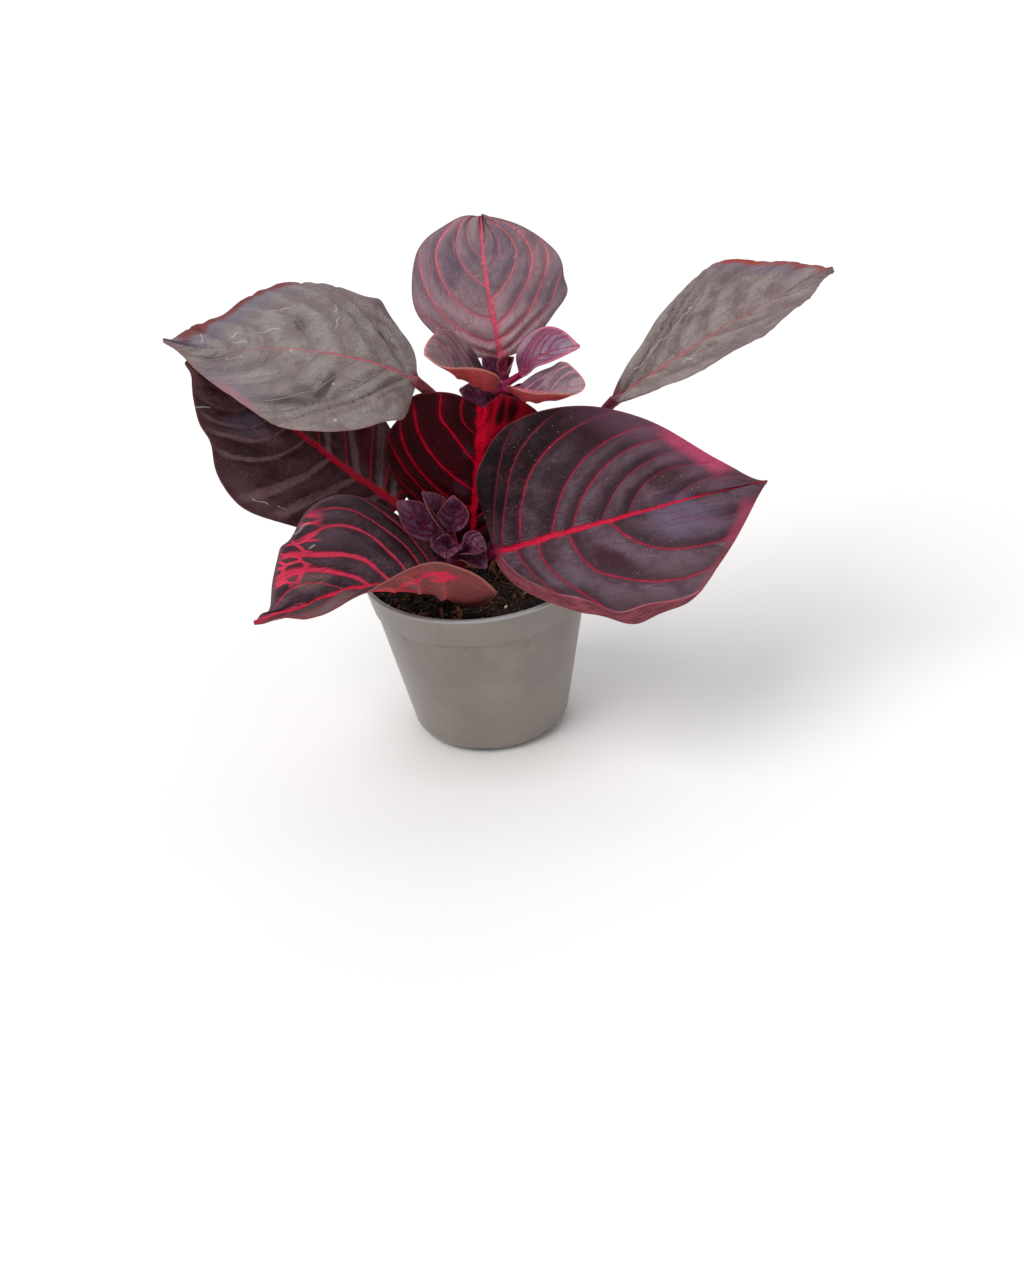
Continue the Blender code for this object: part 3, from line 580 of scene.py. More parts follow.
def add_blade(
    shape, leaf, veins, size, rows, columns, seed, quilt, rough,
    slot=0, thick=0.5, dents=(), crease=0.1,
):
    """A fine leaf: stalk, midrib, swollen panels between sunken veins, and an even skin."""
    rib = rib_of(leaf)
    radius = STALK_RADIUS[size]
    u = np.linspace(0, 1, rows) ** 1.5
    t = np.linspace(0, 1, columns) ** 1.15
    uu, tt = np.meshgrid(u, t, indexing="ij")
    length = rib.length - rib.stalk
    halves = []
    for side, turn, own in ((leaf.left, 1, veins[0]), (leaf.right, -1, veins[1])):
        large = min(1, side.half / LARGE_HALF)
        point, facing, reach = half_blade(leaf, rib, side, turn, uu, tt, radius)
        full = vein_phase(own, u, t)
        gap = spacing(full, point, u, t)
        phase = np.clip(full, -0.5, len(own) - 0.5)
        away = np.abs(phase - np.round(phase))
        out = reach * tt
        fade = np.clip(4 * (1 - tt), 0, 1) * np.clip(uu * 12, 0, 1)
        swell = np.sin(np.pi * away) ** 2 * np.clip(tt * 5, 0, 1) * fade * quilt * large
        groove = np.exp(-((away * gap / GROOVE_WIDTH) ** 2)) * fade * GROOVE_DEPTH * large
        channel = np.exp(-((out / CHANNEL_WIDTH) ** 2)) * CHANNEL_DEPTH * np.clip(uu * 20, 0, 1)
        channel = channel * (1 - uu) * (radius / STALK_RADIUS["large"])
        flat = np.stack([turn * out, length * uu, np.full_like(uu, seed * 31.0)], -1)
        calm = np.clip(tt * 3, 0, 1) * np.clip(uu * 8, 0, 1)
        lumps = fractal(flat, 0.07, 3) * rough * calm
        folds = np.stack(
            [full * 1.1, tt * 1.6 + fractal(flat, 0.12, 2) * 0.5, np.full_like(uu, seed * 3.0)], -1
        )
        lumps -= (1 - np.clip(np.abs(fractal(folds, 1.0, 2)) * 3.5, 0, 1)) * crease * calm
        height = swell - groove - channel + lumps * large
        for across, up, wide, long, degrees, depth in dents:
            far = ellipse(turn * out, length * uu, (across, up), (wide, long), degrees)
            height -= depth * np.exp(-(far**2) * 1.5)
        inner, outer, bold = (vein_value(own, full, part) for part in list(zip(*own))[3:])
        wide = inner * (1 - tt) ** 2 + outer * (1 - (1 - tt) ** 2)
        middle = point + facing * height[..., None]
        halves.append(
            HalfSkin(middle, facing, turn * out, reach - out, groove, gap, wide, bold, phase)
        )
    left_half, right_half = halves

    def join(a, b):
        return np.concatenate([a[:, ::-1], b[:, 1:]], axis=1)

    middle, facing, side_mm, edge, vein, gap, wide, bold, _ = map(join, left_half, right_half)
    facing[:, columns - 1] = unit(left_half.facing[:, 0] + right_half.facing[:, 0])
    middle[:, columns - 1] = (left_half.middle[:, 0] + right_half.middle[:, 0]) / 2
    along = np.repeat(u[:, None], 2 * columns - 1, axis=1)
    phase_left = join(left_half.phase, np.clip(vein_phase(veins[0], u, t), -0.5, 20))
    phase_right = join(np.clip(vein_phase(veins[1], u, t), -0.5, 20), right_half.phase)
    lateral = np.abs(side_mm)
    under_radius = radius * (1 - along) ** 0.8
    ridge = np.sqrt(np.maximum(under_radius**2 - lateral**2, 0))
    upper_radius = radius * np.clip(1 - along / 0.05, 0, 1)
    bulge = np.sqrt(np.maximum(upper_radius**2 - lateral**2, 0)) * np.clip(1 - along / 0.05, 0, 1)
    skin = thick / 2 * (1 - 0.6 * (lateral / (lateral + edge + 1e-6)) ** 10)
    upper = middle + facing * (skin + bulge)[..., None]
    lower = middle - facing * (skin + ridge + 1.3 * vein * np.clip(along * 20, 0, 1))[..., None]

    stalk_rows = max(4, int(rib.stalk / 0.9))
    walk = np.linspace(0, rib.stalk, stalk_rows + 1)[:-1]
    across = np.concatenate([t[::-1], -t[1:]])
    d, c = np.meshgrid(walk, across, indexing="ij")
    point, _, up, left = rib.frames(d)
    flare = radius * (1 + 0.45 * np.exp(-d / 1.4))
    sideways = point + left * (flare * c)[..., None]
    height = (flare * np.sqrt(np.maximum(1 - c * c, 0)) + skin[0] * 0.5)[..., None]
    tops = np.vstack([sideways + up * height, upper])
    bottoms = np.vstack([sideways - up * height, lower])

    rows_all, wide_all = tops.shape[:2]

    def pad(values, fill):
        return np.vstack([np.broadcast_to(fill, d.shape), values])

    stalk = np.vstack([np.ones_like(d), np.clip(1 - along / 0.04, 0, 1) * (lateral < 2 * radius)])
    common = dict(
        side=pad(side_mm, side_mm[0]), edge=pad(edge, 5.0), along=pad(along, 0.0),
        walk=np.vstack([d - rib.stalk, length * along]), stalk=stalk, gap=pad(gap, 5.0),
        phase_left=pad(phase_left, -0.5), phase_right=pad(phase_right, -0.5),
        wide=pad(wide, 1.0), bold=pad(bold, 1.0),
    )
    common = {name: np.concatenate([v.ravel(), v.ravel()]) for name, v in common.items()}
    beneath = rows_all * wide_all
    under = np.repeat([0.0, 1.0], beneath)
    top_faces = grid_faces(rows_all, wide_all)
    bottom_faces = grid_faces(rows_all, wide_all, beneath)[:, ::-1]
    index = np.arange(beneath).reshape(rows_all, wide_all)
    loop = np.concatenate([index[0, :-1], index[:-1, -1], index[-1, :0:-1], index[:0:-1, 0]])
    after = np.roll(loop, -1)
    rim = np.stack([loop, loop + beneath, after + beneath, after], -1)
    faces = np.concatenate([top_faces, bottom_faces, rim]).tolist()
    shape.add(
        np.concatenate([tops.reshape(-1, 3), bottoms.reshape(-1, 3)]), faces, slot,
        under=under, **common,
    )


# Materials

def node_sum(operation, swapped=False):
    def made(one, other=0.0):
        return one.graph.math(operation, *((other, one) if swapped else (one, other)))

    return made


class Value:
    """A node's output, with the sums that can be written with it."""

    __add__, __mul__, __truediv__ = node_sum("ADD"), node_sum("MULTIPLY"), node_sum("DIVIDE")
    __sub__, __rsub__ = node_sum("SUBTRACT"), node_sum("SUBTRACT", swapped=True)
    __gt__, __lt__, __abs__ = node_sum("GREATER_THAN"), node_sum("LESS_THAN"), node_sum("ABSOLUTE")

    def __init__(self, graph, socket):
        self.graph, self.socket = graph, socket


class Graph:
    """A material's nodes, built by short calls."""

    def __init__(self, name, roughness, specular):
        self.material = bpy.data.materials.new(name)
        self.material.use_nodes = True
        self.tree = self.material.node_tree
        self.shader = self.tree.nodes["Principled BSDF"]
        self.shader.inputs["Roughness"].default_value = roughness
        self.shader.inputs["Specular IOR Level"].default_value = specular

    def put(self, socket, value):
        if isinstance(value, Value):
            self.tree.links.new(value.socket, socket)
        elif isinstance(value, tuple):
            socket.default_value = (*value, 1.0)
        else:
            socket.default_value = value

    def node(self, kind, inputs, output=0, **settings):
        """The output of a new node with these settings, and with inputs by place or name."""
        node = self.tree.nodes.new("ShaderNode" + kind)
        for setting, value in settings.items():
            setattr(node, setting, value)
        for key, value in inputs.items():
            self.put(node.inputs[key], value)
        return Value(self, node.outputs[output])

    def attribute(self, name):
        return self.node("Attribute", {}, "Fac", attribute_type="GEOMETRY", attribute_name=name)

    def place(self):
        return self.node("TexCoord", {}, "Object")

    def split(self, vector):
        return [self.node("SeparateXYZ", {0: vector}, k) for k in range(3)]

    def math(self, operation, a, b=0.0, clamp=False):
        return self.node("Math", {0: a, 1: b}, operation=operation, use_clamp=clamp)

    def capped(self, value, gain=1.0):
        return self.math("MULTIPLY", value, gain, clamp=True)

    def most(self, a, b):
        return self.math("MAXIMUM", a, b)

    def far(self, x, y):
        return self.math("SQRT", x * x + y * y)

    def ramp(self, value, start, end, low=0.0, high=1.0):
        inputs = dict(enumerate((value, start, end, low, high)))
        return self.node("MapRange", inputs, interpolation_type="SMOOTHSTEP")

    def fall(self, value, start, end):
        return self.ramp(value, start, end, 1.0, 0.0)

    def mix(self, share, a, b):
        return self.node("Mix", {0: share, 6: a, 7: b}, 2, data_type="RGBA")

    def choose(self, share, a, b):
        return self.node("Mix", {0: share, 2: a, 3: b}, data_type="FLOAT")

    def vector(self, x, y, z):
        return self.node("CombineXYZ", {0: x, 1: y, 2: z})

    def noise(self, vector, scale, detail=3.0, roughness=0.5):
        inputs = {"Vector": vector, "Scale": scale, "Detail": detail, "Roughness": roughness}
        return self.node("TexNoise", inputs, "Fac")

    def cells(self, vector, scale, feature="DISTANCE_TO_EDGE"):
        inputs = {"Vector": vector, "Scale": scale}
        return self.node("TexVoronoi", inputs, "Distance", feature=feature)

    def scale(self, colour, gain):
        return self.node("VectorMath", {0: colour, "Scale": gain}, operation="SCALE")

    def bump(self, height, millimetres, strength):
        inputs = {"Height": height, "Distance": millimetres * MM, "Strength": strength}
        self.put(self.shader.inputs["Normal"], self.node("Bump", inputs))

    def finish(self, colour, roughness=None):
        self.put(self.shader.inputs["Base Color"], colour)
        if roughness is not None:
            self.put(self.shader.inputs["Roughness"], roughness)
        return self.material


def srgb(*values):
    """A linear colour from 0-255 values."""
    shares = [value / 255 for value in values]
    return tuple(c / 12.92 if c <= 0.04045 else ((c + 0.055) / 1.055) ** 2.4 for c in shares)


DUST = srgb(185, 172, 176)
SCRATCH = srgb(196, 186, 186)
ROLLED_LINE = srgb(176, 96, 108)
UNDER_MARGIN = srgb(184, 122, 104)
UNDER_MARK = srgb(214, 38, 74)

# A leaf's colours, from 0 to 255, and its marks, in mm, with what most leaves share as defaults.
# Patches and webs are (across, up, reach across, reach up, degrees) and then a colour and amount,
# or a cell's size, its line's width and amount. Marks on either side of the blade are (across, up,
# length, degrees, width). Rims are (half, start, end, reach, colour, amount), and the rolled strip
# is (half, end, width, colour). Half is 1 for the left one and -1 for the right, and start and end
# are shares of the blade. A liner is a second line, this far beside each vein of the right half
# Painted shade is how far each panel darkens between two veins, for the left and the right half,
# standing in for the light and shade on its quilting: toward the next vein, or just past the last
# one where it is below 0. Patches are partly the leaf's own blotches and partly painted sheen,
# highlights and shade
COLOURS = "dark light vein rib under under_vein edge halo stalk".split()
OPTIONS = dict(
    vein_width=0.25, rib_widths=(0.4, 0.2), rib_bold=(1, 1), net=0.3, halo_bold=0.3, halo_width=1,
    shade=(0.3, 0.3), edge_width=0.45, edge_bold=0.6, gain=0.95, roughness=0.45, specular=0.3,
    specks=0.1, patches=(), webs=(), marks=(), under_marks=(), rims=(), strip=None, liner=0,
)
Look = namedtuple("Look", COLOURS + list(OPTIONS), defaults=tuple(OPTIONS.values()))


def leaf_material(name, look, seed):
    """Panels with painted light and shade, side veins, midrib, fine net, margin and underside, from
    a leaf's own measures.
    """
    g = Graph(name, look.roughness, look.specular)
    look = look._replace(**{field: srgb(*getattr(look, field)) for field in COLOURS})
    side, edge, along, walk, gap, under, stalk, wide, bold = map(
        g.attribute, "side edge along walk gap under stalk wide bold".split()
    )
    flat = g.vector(side, walk, 17.0 * seed)
    out = abs(side)
    t = out / (out + edge + 0.001)
    is_left = side > 0.0
    is_right = 1.0 - is_left
    phase = g.choose(is_left, g.attribute("phase_right"), g.attribute("phase_left"))
    sway = (g.noise(flat, 0.2, 2.0) - 0.5) * 0.12
    phase = phase + sway * g.ramp(out, 0.5, 5.0)
    distance = g.math("PINGPONG", phase, 0.5) * gap
    fraction = g.math("FRACT", phase)
    wander = g.noise(flat, 0.16, 4.0) - 0.5

    def turned_place(across, up, degrees):
        turn = math.radians(degrees)
        dx, dy = side - across, walk - up
        return dx * math.cos(turn) + dy * math.sin(turn), dy * math.cos(turn) - dx * math.sin(turn)

    def inside(across, up, wide_reach, long_reach, degrees, soft=0.3):
        x, y = turned_place(across, up, degrees)
        return g.fall(g.far(x / wide_reach, y / long_reach) + wander * 0.7, soft, 1.0)

    def mark_line(across, up, long, degrees, thick):
        x, y = turned_place(across, up, degrees)
        y = y + g.math("SINE", x * 2.0) * 0.2
        x = g.most(abs(x) - long / 2, 0.0)
        return g.fall(g.far(x, y), thick * 0.2, thick * 0.6) * ragged

    ragged = g.ramp(g.noise(flat, 0.5), 0.3, 0.7, 0.75, 1.25)
    width = wide * look.vein_width * ragged
    vein = g.fall(distance, width * 0.4, width * 1.25)
    vein = vein * g.ramp(t, 0.86, 0.99, 1.0, 0.2) * bold
    rib_width = g.ramp(along, 0.0, 1.0, *look.rib_widths) * ragged
    rib = g.fall(out, rib_width * 0.5, rib_width * 1.2)
    rib = rib * g.ramp(along, 0.05, 0.95, *look.rib_bold)

    cross = g.vector(phase * 1.3, out * 0.42, is_left + seed)
    mesh = g.fall(g.cells(cross, 1.0), 0.015, 0.11)
    fine = g.fall(g.cells(flat, 0.9), 0.03, 0.16)
    net = g.most(mesh, fine * 0.4)
    net = net * g.ramp(g.noise(flat, 0.2, 2.0), 0.35, 0.65)

    # Random mottle, plus painted light: each panel grows a little lighter away from its veins,
    # toward its crest
    mottle_and_crest_light = g.noise(flat, 0.2, 7.0, 0.68) + g.ramp(distance, 0.0, 3.0) * 0.08
    colour = g.mix(g.ramp(mottle_and_crest_light, 0.4, 0.68), look.dark, look.light)
    grain = g.noise(flat, 2.0, 3.0, 0.75)
    colour = g.mix(g.ramp(grain, 0.5, 0.8, 0.0, 0.44), colour, look.light)
    colour = g.mix(g.ramp(grain, 0.5, 0.22, 0.0, 0.44), colour, look.dark)
    # Painted shade: each panel darkens toward a deeper copy of its dark colour, standing in for the
    # light and shade on the quilted panels
    deep = tuple(c * 0.45 for c in look.dark)
    painted_shades = [
        g.ramp(fraction, *((0.1, 0.95, 0.0, amount) if amount > 0 else (0.05, 0.8, -amount, 0.0)))
        for amount in look.shade
    ]
    colour = g.mix(g.choose(is_left, painted_shades[1], painted_shades[0]), colour, deep)
    # Patches: the leaf's own blotches, and painted sheen, highlights and shade, as each look lists
    # them
    for place in look.patches:
        colour = g.mix(inside(*place[:5]) * place[6], colour, srgb(*place[5]))
    colour = g.mix(net * look.net, colour, look.halo)
    halo = g.fall(distance, 0.0, wide * look.halo_width)
    colour = g.mix(halo * bold * look.halo_bold, colour, look.halo)
    for place in look.webs:
        cell, line, amount = place[5:]
        lines = g.cells(g.vector(side, walk, 3.0 + seed), 1.0 / cell)
        lines = g.fall(lines, line * 0.5 / cell, line * 1.1 / cell)
        lines = lines * (inside(*place[:5], 0.75) * amount)
        vein = g.most(vein, lines)
    colour = g.mix(g.capped(vein), colour, look.vein)
    if look.liner:
        far = abs(fraction * gap - look.liner)
        colour = g.mix(g.fall(far, 0.1, 0.3) * is_right * 0.8, colour, look.rib)
    colour = g.mix(rib, colour, look.rib)
    margin = g.fall(edge, look.edge_width * 0.3, look.edge_width)
    colour = g.mix(margin * look.edge_bold, colour, look.edge)
    for half, start, end, reach, tint, amount in look.rims:
        zone = g.ramp(along, start, start + 0.08) * g.fall(along, end - 0.08, end)
        zone = zone * (is_left if half > 0 else is_right)
        near = g.ramp(edge + wander * reach, reach * 0.3, reach, amount, 0.0)
        colour = g.mix(zone * near, colour, srgb(*tint))
    if look.strip:
        half, end, reach, tint = look.strip
        tint, here = srgb(*tint), is_left if half > 0 else is_right
        zone = g.ramp(along, end * 0.55, end, reach, 0.0)
        streaks = g.noise(g.vector(edge * 4.0, walk, 1.0), 0.5)
        rolled = g.mix(g.ramp(streaks, 0.35, 0.65), tint, deep)
        colour = g.mix((edge < zone) * here, colour, g.mix(0.45, rolled, tint))
        line = g.ramp(abs(edge - zone), 0.12, 0.3, 0.7, 0.0) * (zone > 0.3) * here
        colour = g.mix(line, colour, ROLLED_LINE)
    dust = g.fall(g.cells(g.vector(side * 1.5, walk, 5.0 + seed), 0.8, "F1"), 0.05, 0.1)
    dust = dust * g.ramp(g.noise(flat, 0.14, 2.0), 0.46, 0.58)
    colour = g.mix(dust * look.specks, colour, DUST)
    for mark in look.marks:
        colour = g.mix(g.capped(mark_line(*mark), 0.5), colour, SCRATCH)
    colour = g.mix(stalk, colour, look.stalk)

    below = g.mix(g.ramp(mottle_and_crest_light, 0.35, 0.75), look.under, tuple(c * 0.75 for c in look.under))
    below = g.mix(g.ramp(grain, 0.5, 0.8, 0.0, 0.3), below, tuple(c * 0.6 for c in look.under))
    below = g.mix(net * 0.3, below, look.under_vein)
    below = g.mix(g.capped(g.most(vein, rib), 0.85), below, look.under_vein)
    below = g.mix(g.fall(edge, 0.15, 0.6) * 0.5, below, UNDER_MARGIN)
    for mark in look.under_marks:
        below = g.mix(g.capped(mark_line(*mark), 0.85), below, UNDER_MARK)
    below = g.mix(stalk, below, look.stalk)
    colour = g.mix(g.ramp(under, 0.3, 0.7), colour, below)
    if look.gain != 1.0:
        colour = g.scale(colour, look.gain)

    wrinkle = g.noise(flat, 0.7, 5.0, 0.62) * 1.2
    g.bump(wrinkle - net * 0.5 - g.most(vein, rib) * 0.4, 0.45, 0.9)
    shine = g.ramp(g.noise(flat, 0.3), 0.3, 0.7, look.roughness - 0.06, look.roughness + 0.08)
    return g.finish(colour, shine)


LOOKS = {
    # Its grey tones are partly painted sheen, the sky's broad reflection on a leaf that lies nearly
    # flat, over its own purple-brown. The bluish-grey tip patch and rims are painted sheen too, and
    # the dark patches on and beside the dents are painted shade in them
    "leaf_left_upper": Look(
        (112, 98, 98), (142, 132, 130), (124, 112, 112), (172, 84, 98), (128, 62, 62),
        (186, 48, 68), (128, 84, 84), (110, 98, 98), (120, 44, 60),
        rib_widths=(0.5, 0.25), rib_bold=(1, 0), net=0.12, halo_bold=0, halo_width=2,
        shade=(0.12, 0.12), edge_width=0.6, edge_bold=0.4, gain=1.08, roughness=0.5, specks=0.7,
        patches=(
            (0, 62, 8, 6, 0, (98, 96, 118), 0.6), (-22, 16, 6, 12, 0, (112, 84, 88), 0.6),
            (12, 24, 2.5, 7, 20, (92, 84, 80), 0.7), (-9.5, 31, 3.5, 2.2, 0, (84, 72, 70), 0.8),
            (14, 34, 3, 7, 10, (104, 96, 98), 0.5), (-9, 9, 1, 6, 35, (82, 62, 62), 0.8),
            (-14, 11, 1.2, 6, 30, (88, 66, 68), 0.7), (10, 20.5, 6, 2, 8, (44, 38, 40), 0.85),
            (15.2, 26.5, 2.2, 7, 0, (50, 44, 46), 0.8), (-22, 8, 7, 12, 20, (104, 76, 78), 0.6),
            (5, 36, 3, 6, 10, (108, 98, 98), 0.7), (-20, 7, 3, 5, 30, (124, 72, 70), 0.6),
        ),
        marks=(
            (-6, 38, 5, 80, 0.35), (-4.5, 46, 2.5, 60, 0.4), (-2, 45, 3.5, 90, 0.35),
            (-3, 54, 3, 30, 0.35), (-13.9, 34, 4, 80, 0.3), (-15, 22, 3, 10, 0.35),
            (-10, 22, 4, 10, 0.25), (0.5, 32, 0.5, 0, 0.6), (9, 19, 0.3, 0, 0.6),
            (19, 15, 0.4, 0, 0.5), (2.5, 45, 4, 90, 0.25), (-12, 27, 2, 80, 0.3),
        ),
        rims=(
            (-1, 0.42, 1, 7, (104, 96, 116), 0.6), (-1, 0.4, 0.95, 2.2, (112, 40, 38), 0.9),
            (1, 0.44, 0.68, 1.6, (164, 104, 106), 0.8), (1, 0.44, 0.75, 4.5, (108, 98, 116), 0.4),
            (-1, -0.1, 0.4, 2.5, (104, 94, 108), 0.5),
        ),
    ),
    # Its grey tones are partly painted sheen, the sky's broad reflection on a leaf that lies nearly
    # flat, over its own purple-brown. Its bluish-grey rim is painted sheen too
    "leaf_right_upper": Look(
        (110, 92, 92), (144, 131, 129), (132, 112, 112), (176, 92, 102), (128, 62, 62),
        (186, 48, 68), (112, 96, 98), (114, 100, 100), (110, 34, 56),
        rib_widths=(0.55, 0.25), rib_bold=(1, 0.35), net=0.15, halo_bold=0, halo_width=2,
        shade=(0.1, 0.1), edge_width=0.5, edge_bold=0.4, gain=1.06, roughness=0.5, specks=0.7,
        patches=(
            (2, 60, 4, 5, 0, (128, 66, 70), 0.6), (3, 1, 6, 3.5, 0, (88, 40, 50), 0.8),
            (-8, 10, 4, 8, 0, (124, 112, 112), 0.4), (8, 26, 1.2, 10, 15, (104, 86, 86), 0.6),
        ),
        marks=(
            (9.5, 23, 7, 60, 0.28), (6.5, 15.5, 6, 65, 0.3), (4.5, 10, 5, 70, 0.25),
            (12, 27, 4, 60, 0.3), (-1.5, 46, 2.5, 90, 0.35), (-2, 38, 1, 0, 0.6),
            (-5, 22, 4, 40, 0.3), (-6, 20, 2, 0, 0.5),
        ),
        rims=(
            (1, 0.45, 0.9, 5, (104, 90, 108), 0.6), (1, 0.48, 0.72, 1.8, (150, 46, 34), 0.95),
            (1, 0.66, 1.1, 1.6, (140, 58, 58), 0.85),
        ),
    ),
    "leaf_left_lower": Look(
        (54, 26, 30), (80, 52, 54), (118, 90, 96), (184, 22, 52), (128, 62, 62), (186, 48, 68),
        (104, 58, 62), (86, 58, 64), (120, 20, 48),
        vein_width=0.9, rib_widths=(1.1, 0.4), rib_bold=(1, 0.7), net=0.2, halo_width=2.4,
        shade=(0.3, -0.2), gain=0.85, roughness=0.42, specular=0.08, specks=0.5, liner=2.2,
        # The bluish patch at 6, 41 and the lighter one at 5.5, 36 are painted highlights on the
        # folds
        patches=(
            (-10, 14, 9, 12, 0, (84, 20, 38), 0.85), (6, 41, 5, 6, 20, (84, 76, 98), 0.6),
            (12, 34, 4, 5, 0, (30, 14, 18), 0.6), (5.5, 36, 2.5, 5, 0, (104, 78, 86), 0.7),
            (12, 48, 5, 8, 0, (70, 44, 42), 0.6), (20, 26, 3, 9, 0, (92, 70, 76), 0.5),
            (-4, 26, 4, 5, 0, (42, 16, 24), 0.7),
        ),
        marks=((8.4, 49, 2.4, 20, 0.45), (20, 24, 3, 70, 0.3), (18, 20, 2, 80, 0.3)),
    ),
    "leaf_centre": Look(
        (40, 6, 12), (62, 8, 18), (184, 0, 40), (206, 0, 44), (70, 14, 22), (186, 48, 68),
        (104, 40, 42), (92, 4, 18), (110, 4, 44),
        vein_width=0.27, rib_widths=(0.7, 1.6), net=0.2, halo_bold=0.45, halo_width=1.5,
        shade=(0.5, 0.3), edge_width=0.4, edge_bold=0.5, roughness=0.4, specular=0.06,
        # The first three greyish patches, beside the midrib, are painted gloss highlights
        patches=(
            (4, 8, 4, 3, 0, (78, 56, 62), 0.6), (3.5, 16, 3, 3, 0, (70, 46, 62), 0.5),
            (3, 25, 2, 3, 0, (74, 54, 66), 0.5), (-7, 30, 10, 11, 0, (180, 0, 38), 1),
            (-4.4, 32, 1.7, 1.6, 0, (20, 2, 5), 0.95), (-7.6, 30.6, 2.6, 1.6, 20, (20, 2, 5), 0.95),
            (-4, 28, 1.3, 2, 0, (20, 2, 5), 0.95), (-9.5, 27, 2.6, 1.5, 30, (24, 2, 5), 0.9),
        ),
    ),
    "leaf_top": Look(
        (110, 92, 104), (140, 120, 128), (196, 108, 122), (218, 84, 112), (110, 40, 66),
        (186, 48, 68), (118, 78, 82), (156, 108, 116), (150, 50, 92),
        vein_width=0.3, rib_widths=(0.85, 0.4), rib_bold=(1, 0.8), net=0.5, halo_bold=0.45,
        halo_width=1.5, gain=1.1, roughness=0.48, specks=0.2,
        # The large light patch at the base is painted light on the lower part of the blade
        patches=(
            (-5, 30, 6, 6, 0, (112, 96, 100), 0.6), (-4, 27, 4, 5, 0, (96, 82, 108), 0.5),
            (-13, 22, 5, 9, 0, (124, 84, 88), 0.4), (5, 3, 22, 18, 0, (178, 142, 152), 0.85),
            (10, 22, 6, 6, 20, (94, 76, 96), 0.7), (2, 32, 9, 5, 0, (146, 124, 126), 0.7),
        ),
        marks=((-7.5, 23, 0.4, 0, 0.45),),
    ),
    "leaf_right_lower": Look(
        (80, 56, 66), (110, 92, 104), (166, 40, 68), (204, 26, 62), (118, 62, 62), (170, 60, 72),
        (118, 60, 64), (98, 50, 60), (120, 20, 52),
        rib_widths=(1, 0.3), rib_bold=(1, 0.8), halo_bold=0.35, halo_width=1.3, shade=(0.8, -0.8),
        gain=1.03, roughness=0.42, specular=0.08, specks=1, strip=(-1, 0.55, 4.6, (132, 66, 76)),
        # The near-black patch on the left half is partly the leaf's own dark colour and partly
        # painted shade under the leaves above it. The bluish-grey patches on the right half are
        # painted sheen
        patches=(
            (24, 4, 26, 28, 0, (12, 4, 5), 0.9), (25, 28, 9, 10, 0, (48, 26, 32), 0.9),
            (6.5, 44, 3.5, 6, 0, (58, 32, 34), 0.8), (-11, 28, 9, 3.2, -32, (56, 28, 34), 0.85),
            (-13, 17, 5, 9, 20, (112, 98, 112), 0.5), (-4, 47, 8, 10, 0, (112, 96, 122), 0.8),
            (-17, 38, 7, 8, 0, (124, 100, 112), 0.3),
        ),
        rims=(
            (1, 0.3, 0.9, 7, (112, 76, 96), 0.5), (1, 0.52, 0.82, 2.6, (190, 74, 108), 0.8),
            (-1, 0.64, 0.9, 1.8, (160, 66, 90), 0.7), (-1, 0.4, 0.7, 1.4, (140, 70, 80), 0.6),
        ),
    ),
    "leaf_front_left": Look(
        (68, 50, 58), (92, 74, 84), (220, 58, 90), (224, 50, 84), (126, 66, 66), (214, 60, 74),
        (130, 60, 66), (104, 46, 60), (70, 20, 48),
        vein_width=0.36, rib_widths=(1.2, 0.7), net=0.2, halo_bold=0.25, halo_width=1.2,
        shade=(-0.2, 0.4), edge_width=0.5, roughness=0.44, specular=0.1, specks=0.3,
        # The greyish patches at -5, 33 and 7, 30 are painted sheen
        patches=(
            (-14, 6, 15, 18, 0, (36, 22, 28), 0.95), (-5, 33, 3, 6, 0, (126, 98, 100), 0.8),
            (0, 51, 4, 7, 0, (156, 84, 96), 0.8), (7, 30, 7, 16, 0, (122, 94, 96), 0.8),
            (7, 22, 3, 3, 0, (186, 62, 84), 0.7),
        ),
        webs=((-14.5, 31, 13, 4.6, 45, 3.1, 0.42, 1),),
        marks=((-18.5, 25, 2.4, 60, 0.35), (-13, 27, 0.8, 90, 0.45)),
        rims=((-1, 0.3, 0.95, 0.9, (98, 78, 88), 0.8),),
        under_marks=(
            (8.75, 15.8, 7.9, -6, 1.9), (15, 14.2, 5.2, -28, 2.1), (16.8, 12.3, 1.6, 52, 1.7),
            (15, 11.8, 2.6, -7, 1.2),
        ),
    ),
    "leaf_tuft_left": Look(
        (92, 72, 80), (134, 110, 116), (160, 98, 110), (182, 84, 102), (132, 48, 50), (160, 40, 50),
        (168, 104, 100), (128, 92, 100), (120, 30, 62),
        vein_width=0.28, rib_widths=(0.45, 0.2), rib_bold=(1, 0.4), edge_width=0.4, edge_bold=0.7,
        gain=1.6, patches=((-5, 4, 6, 6, 0, (40, 20, 30), 0.85),),
    ),
    "leaf_tuft_right": Look(
        (92, 68, 82), (148, 124, 132), (164, 112, 124), (170, 90, 110), (132, 48, 50),
        (160, 40, 50), (176, 104, 98), (138, 108, 118), (120, 24, 62),
        vein_width=0.28, rib_bold=(1, 0.4), edge_width=0.4, edge_bold=0.7, gain=1.45,
        patches=((0, 2, 6, 6, 0, (84, 46, 80), 0.7), (4, 14, 4, 5, 0, (86, 70, 78), 0.6)),
    ),
    "leaf_tuft_small": Look(
        (112, 86, 108), (160, 134, 152), (148, 60, 96), (160, 40, 80), (110, 30, 58), (150, 40, 70),
        (196, 104, 128), (132, 76, 108), (130, 16, 66),
        rib_bold=(1, 0.6), edge_width=0.6, edge_bold=0.8, gain=1.2,
        patches=((0, 19, 5, 4, 0, (92, 68, 82), 0.8), (0, 1, 7, 6, 0, (92, 20, 58), 0.9)),
